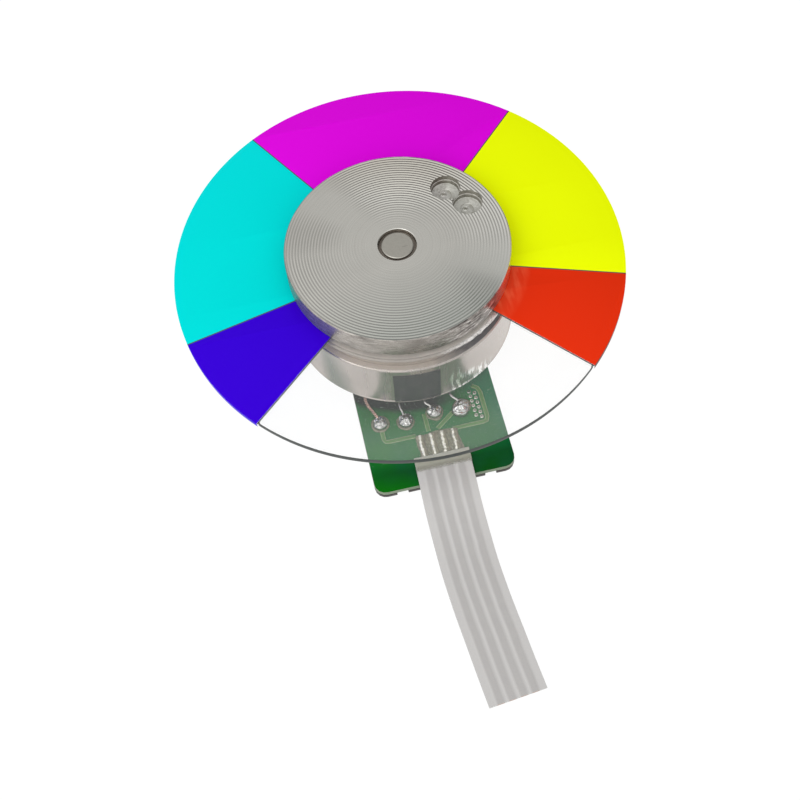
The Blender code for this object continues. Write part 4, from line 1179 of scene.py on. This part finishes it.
def lead_wires():
    """The motor's leads: the first is a twist of bare copper strands, the others are tinned."""
    strand_copper = plain_metal("strand_copper", srgb(196, 164, 150), 0.25)
    tinned = plain_metal("tinned_lead", srgb(200, 198, 194), 0.2)
    radius = LEAD_DIAMETER / 2
    below_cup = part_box("rotor_cup")[0].z - LEAD_DIP - radius
    board_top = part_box("circuit_board")[1].z
    for i, (joint, exit_x, angle) in enumerate(zip(JOINT_PLACES, LEAD_EXITS_X, LEAD_START_ANGLES)):
        node = f"lead_wire_{i + 1}"
        joint = [part * MM for part in joint]
        rim = (exit_x * MM, -math.sqrt(CUP_RADIUS ** 2 - (exit_x * MM) ** 2) + 0.5 * MM)
        share = 1.0 - LEAD_SINK / math.dist(rim, joint)
        end = [a + (b - a) * share for a, b in zip(rim, joint)]
        start = (*polar(LEAD_START_RADIUS, angle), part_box(node)[1].z - radius)
        path = smooth_through([start, (*rim, below_cup), (*end, board_top + 0.34 * MM)], 0.15 * MM)
        if i == 0:
            strands = [strand(path, 2 * math.pi * turn / 3, radius * 0.75) for turn in range(3)]
            lead = wires(f"lead_{i + 1}", strands, radius * 0.52, 2)
        else:
            lead = wires(f"lead_{i + 1}", [path], radius * 0.9, 3)
        finish(lead, "base", tinned if i else strand_copper, "lead_copper", node)


def strand(path, start, offset):
    """The path of one strand that winds round another path."""
    places = []
    for point, side, upward, travelled in swept(path):
        turn = travelled / STRAND_TURN * 2 * math.pi + start
        places.append(point + (side * math.cos(turn) + upward * math.sin(turn)) * offset)
    return places


def conductors():
    """The cable's bare conductors: bright bars with solder heaped along them, in a crust of dried flux."""
    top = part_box("circuit_board")[1].z
    first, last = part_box("cable_conductor_1"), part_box(f"cable_conductor_{CONDUCTOR_COUNT}")
    middle = ((first[0].x + last[1].x) / 2, (first[0].y + first[1].y) / 2 + 0.05 * MM)
    width, length = last[1].x - first[0].x + 0.7 * MM, first[1].y - first[0].y + 0.6 * MM
    foot = top - 0.02 * MM
    crust = heap("conductor_flux", middle, foot, 0.09 * MM, 1.0 * MM, lumps=0.25, rings=30, steps=120)
    for vertex in crust.data.vertices:
        out = (vertex.co.xy - Vector(middle)) / MM
        square = max(abs(out.x), abs(out.y), 1e-9) / max(out.length, 1e-9)
        vertex.co.x = middle[0] + CONDUCTOR_SHIFT + out.x / square * width / 2 * 0.97
        vertex.co.y = middle[1] + out.y / square * length / 2 * 0.97
    finish(crust, "base", flux_residue(), "board")
    coated = fluxed_solder()
    for i in range(CONDUCTOR_COUNT):
        bar = solder_bar(f"conductor_{i + 1}", *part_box(f"cable_conductor_{i + 1}"), i)
        finish(bar, "base", coated, "solder", f"cable_conductor_{i + 1}")


def solder_bar(name, low, high, seed):
    """A soldered conductor: a rounded bar, fuller at its ends, its crest uneven."""
    count, around = 40, 16
    place = seed - (CONDUCTOR_COUNT - 1) / 2
    rows = []
    for i in range(count + 1):
        share = i / count
        y = low.y + (high.y + 0.16 * MM - low.y) * share
        from_end = max(0.0, abs(share - 0.5) * 2 - 0.88) / 0.12
        ends = max(math.sqrt(max(0.0, 1.0 - from_end ** 2)), 0.05)
        swell = 0.92 + 0.08 * math.cos(2 * math.pi * share)
        swell += 0.16 * noise.noise(Vector((share * 6.0, seed * 3.7, 0.5)))
        half = 0.36 * MM * swell * ends
        rise = (high.z - low.z) * (0.80 + 0.20 * swell) * ends
        x = CONDUCTOR_SHIFT + place * (CONDUCTOR_PITCH + (CONDUCTOR_SPREAD - CONDUCTOR_PITCH) * share)
        x += 0.03 * MM * noise.noise(Vector((share * 3.0, seed * 5.1, 2.0)))
        row = []
        for j in range(around + 1):
            turn = math.pi * j / around
            lump = 1.0 + 0.22 * noise.noise(Vector((share * 9.0, j * 0.35, seed * 2.3)))
            row.append((x - half * math.cos(turn), y, low.z + rise * math.sin(turn) * lump))
        rows.append(row)
    return skinned(name, rows, caps=(0, -1))


def cable_tape():
    """The thin tape over the cable's stripped end, a little rippled, its edges soft."""
    low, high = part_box("cable_tape")
    across, along = 50, 16
    rows = []
    for i in range(along + 1):
        v = i / along
        under, over = [], []
        for j in range(across + 1):
            u = j / across
            x, y = low.x + (high.x - low.x) * u, low.y + (high.y - low.y) * v
            ripple = 0.012 * MM * noise.noise(Vector((u * 9.0, v * 4.0, 0.7)))
            fall = 0.125 * (high.z - low.z) * eased(abs(u - 0.5) * 2, 0.9, 1.0)
            under.append((x, y, low.z))
            over.append((x, y, high.z - 0.014 * MM - fall + ripple))
        rows.append(under + over[::-1])
    finish(skinned("tape", rows, 50.0, (0, -1)), "base", tape_film(), "tape", "cable_tape")


def vias():
    """Plain tinned vias in staggered rows at the board's right side."""
    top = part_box("circuit_board")[1].z
    tinned = plain_metal("tinned_via", srgb(226, 226, 216), 0.2)
    profile = steps_from(0.0, top, VIA_PROFILE)
    for row in range(VIA_ROWS):
        for column in range(VIA_COLUMNS):
            x = VIA_START[0] + column * VIA_STEP[0] + row * VIA_SLANT
            y = VIA_START[1] - row * VIA_STEP[1] - (column % 2) * VIA_STEP[1] / 2
            via = turned(f"via_{row + 1}_{column + 1}", profile, 20, (x * MM, y * MM))
            finish(via, "base", tinned, "solder")


def inner_looks():
    """Materials of the solids that show as they are."""
    looks = {
        "rotor_magnet": plain_surface("magnet", srgb(58, 58, 60), 0.6),
        "shaft": plain_metal("ground_steel", srgb(200, 200, 198), 0.15),
        "shaft_retainer": plain_surface("retainer", srgb(34, 34, 34), 0.5),
        "bearing_holder": turned_aluminium("holder_brass", srgb(206, 170, 104), 0.25, 9.0),
        "sleeve_bearing": plain_surface("bronze", srgb(150, 112, 74), 0.5, metallic=0.8),
        "thrust_cover": plain_metal("cover_steel", srgb(150, 150, 148), 0.3),
        "thrust_pad": plain_surface("pad", srgb(40, 40, 40), 0.5),
        "stator_core": plain_metal("core_steel", srgb(110, 112, 116), 0.4),
        "lower_insulator": plain_surface("insulator", srgb(226, 222, 206), 0.5),
        "upper_insulator": plain_surface("insulator_top", srgb(226, 222, 206), 0.5),
    }
    copper = wound_copper()
    looks |= {f"coil_{i + 1}": copper for i in range(9)}
    for node, look in looks.items():
        dress(NODES[node].data, look)


def make_floor():
    """A white ground that keeps a faint shadow, seen as white by the camera, metal and glass."""
    form = bmesh.new()
    bmesh.ops.create_grid(form, x_segments=1, y_segments=1, size=FLOOR_REACH)
    mesh = bpy.data.meshes.new("floor")
    form.to_mesh(mesh)
    form.free()
    floor = add_piece("floor", mesh)
    floor.location.z = FLOOR_LEVEL
    material = bpy.data.materials.new("floor")
    tree = Tree(material)
    shown = tree.node("LightPath", output="Is Camera Ray")
    for ray in ("Is Glossy Ray", "Is Transmission Ray"):
        shown = shown.math("MAXIMUM", tree.node("LightPath", output=ray))
    glow = tree.node("Emission", {"Strength": FLOOR_GLOW})
    shade = tree.node("BsdfDiffuse", {"Color": (FLOOR_SHADE,) * 3})
    plain = tree.node("BsdfDiffuse", {"Color": (FLOOR_PLAIN,) * 3})
    both = tree.node("AddShader", {0: glow, 1: shade})
    tree.node("OutputMaterial", {0: tree.node("MixShader", {0: shown, 1: plain, 2: both})})
    mesh.materials.append(material)


def make_world():
    """A soft white room, brighter overhead and towards one side, and plain white for the camera."""
    world = bpy.data.worlds.new("room")
    bpy.context.scene.world = world
    tree = Tree(world)
    spot = tree.node("TexCoord", output="Generated")
    bright = (*polar(1.0, SKY_BRIGHT_ANGLE), 0.0)
    toward = tree.node("VectorMath", {0: spot, 1: bright}, "Value", operation="DOT_PRODUCT")
    rise = tree.split(spot)[2] * SKY_RISE + SKY_LEVEL
    level = (toward * SKY_SLOPE + rise).math("MAXIMUM", SKY_LEAST)
    room = tree.node("Background", {"Color": (ROOM_WHITE,) * 3, "Strength": level})
    white = tree.node("Background", {"Color": (1.0, 1.0, 1.0)})
    seen = tree.node("LightPath", output="Is Camera Ray")
    tree.node("OutputWorld", {0: tree.node("MixShader", {0: seen, 1: room, 2: white})})


def key_light():
    """One broad, weak light from the upper left."""
    data = bpy.data.lights.new("key", "AREA")
    data.shape = "RECTANGLE"
    data.size = data.size_y = KEY_SIZE
    data.energy = KEY_POWER
    light = add_piece("key", data)
    light.location = KEY_PLACE
    light.rotation_euler = (-Vector(KEY_PLACE)).to_track_quat("-Z", "Y").to_euler()


bpy.context.scene.view_settings.view_transform = "Standard"
make_camera()
ribbon_cable()
make_world()
make_floor()
key_light()
filter_glass()
turned_cap()
turned_hub()
adhesive_bead()
drawn_cup()
timing_patch()
board()
board_details()
solder_joints()
lead_wires()
conductors()
cable_tape()
vias()
inner_looks()
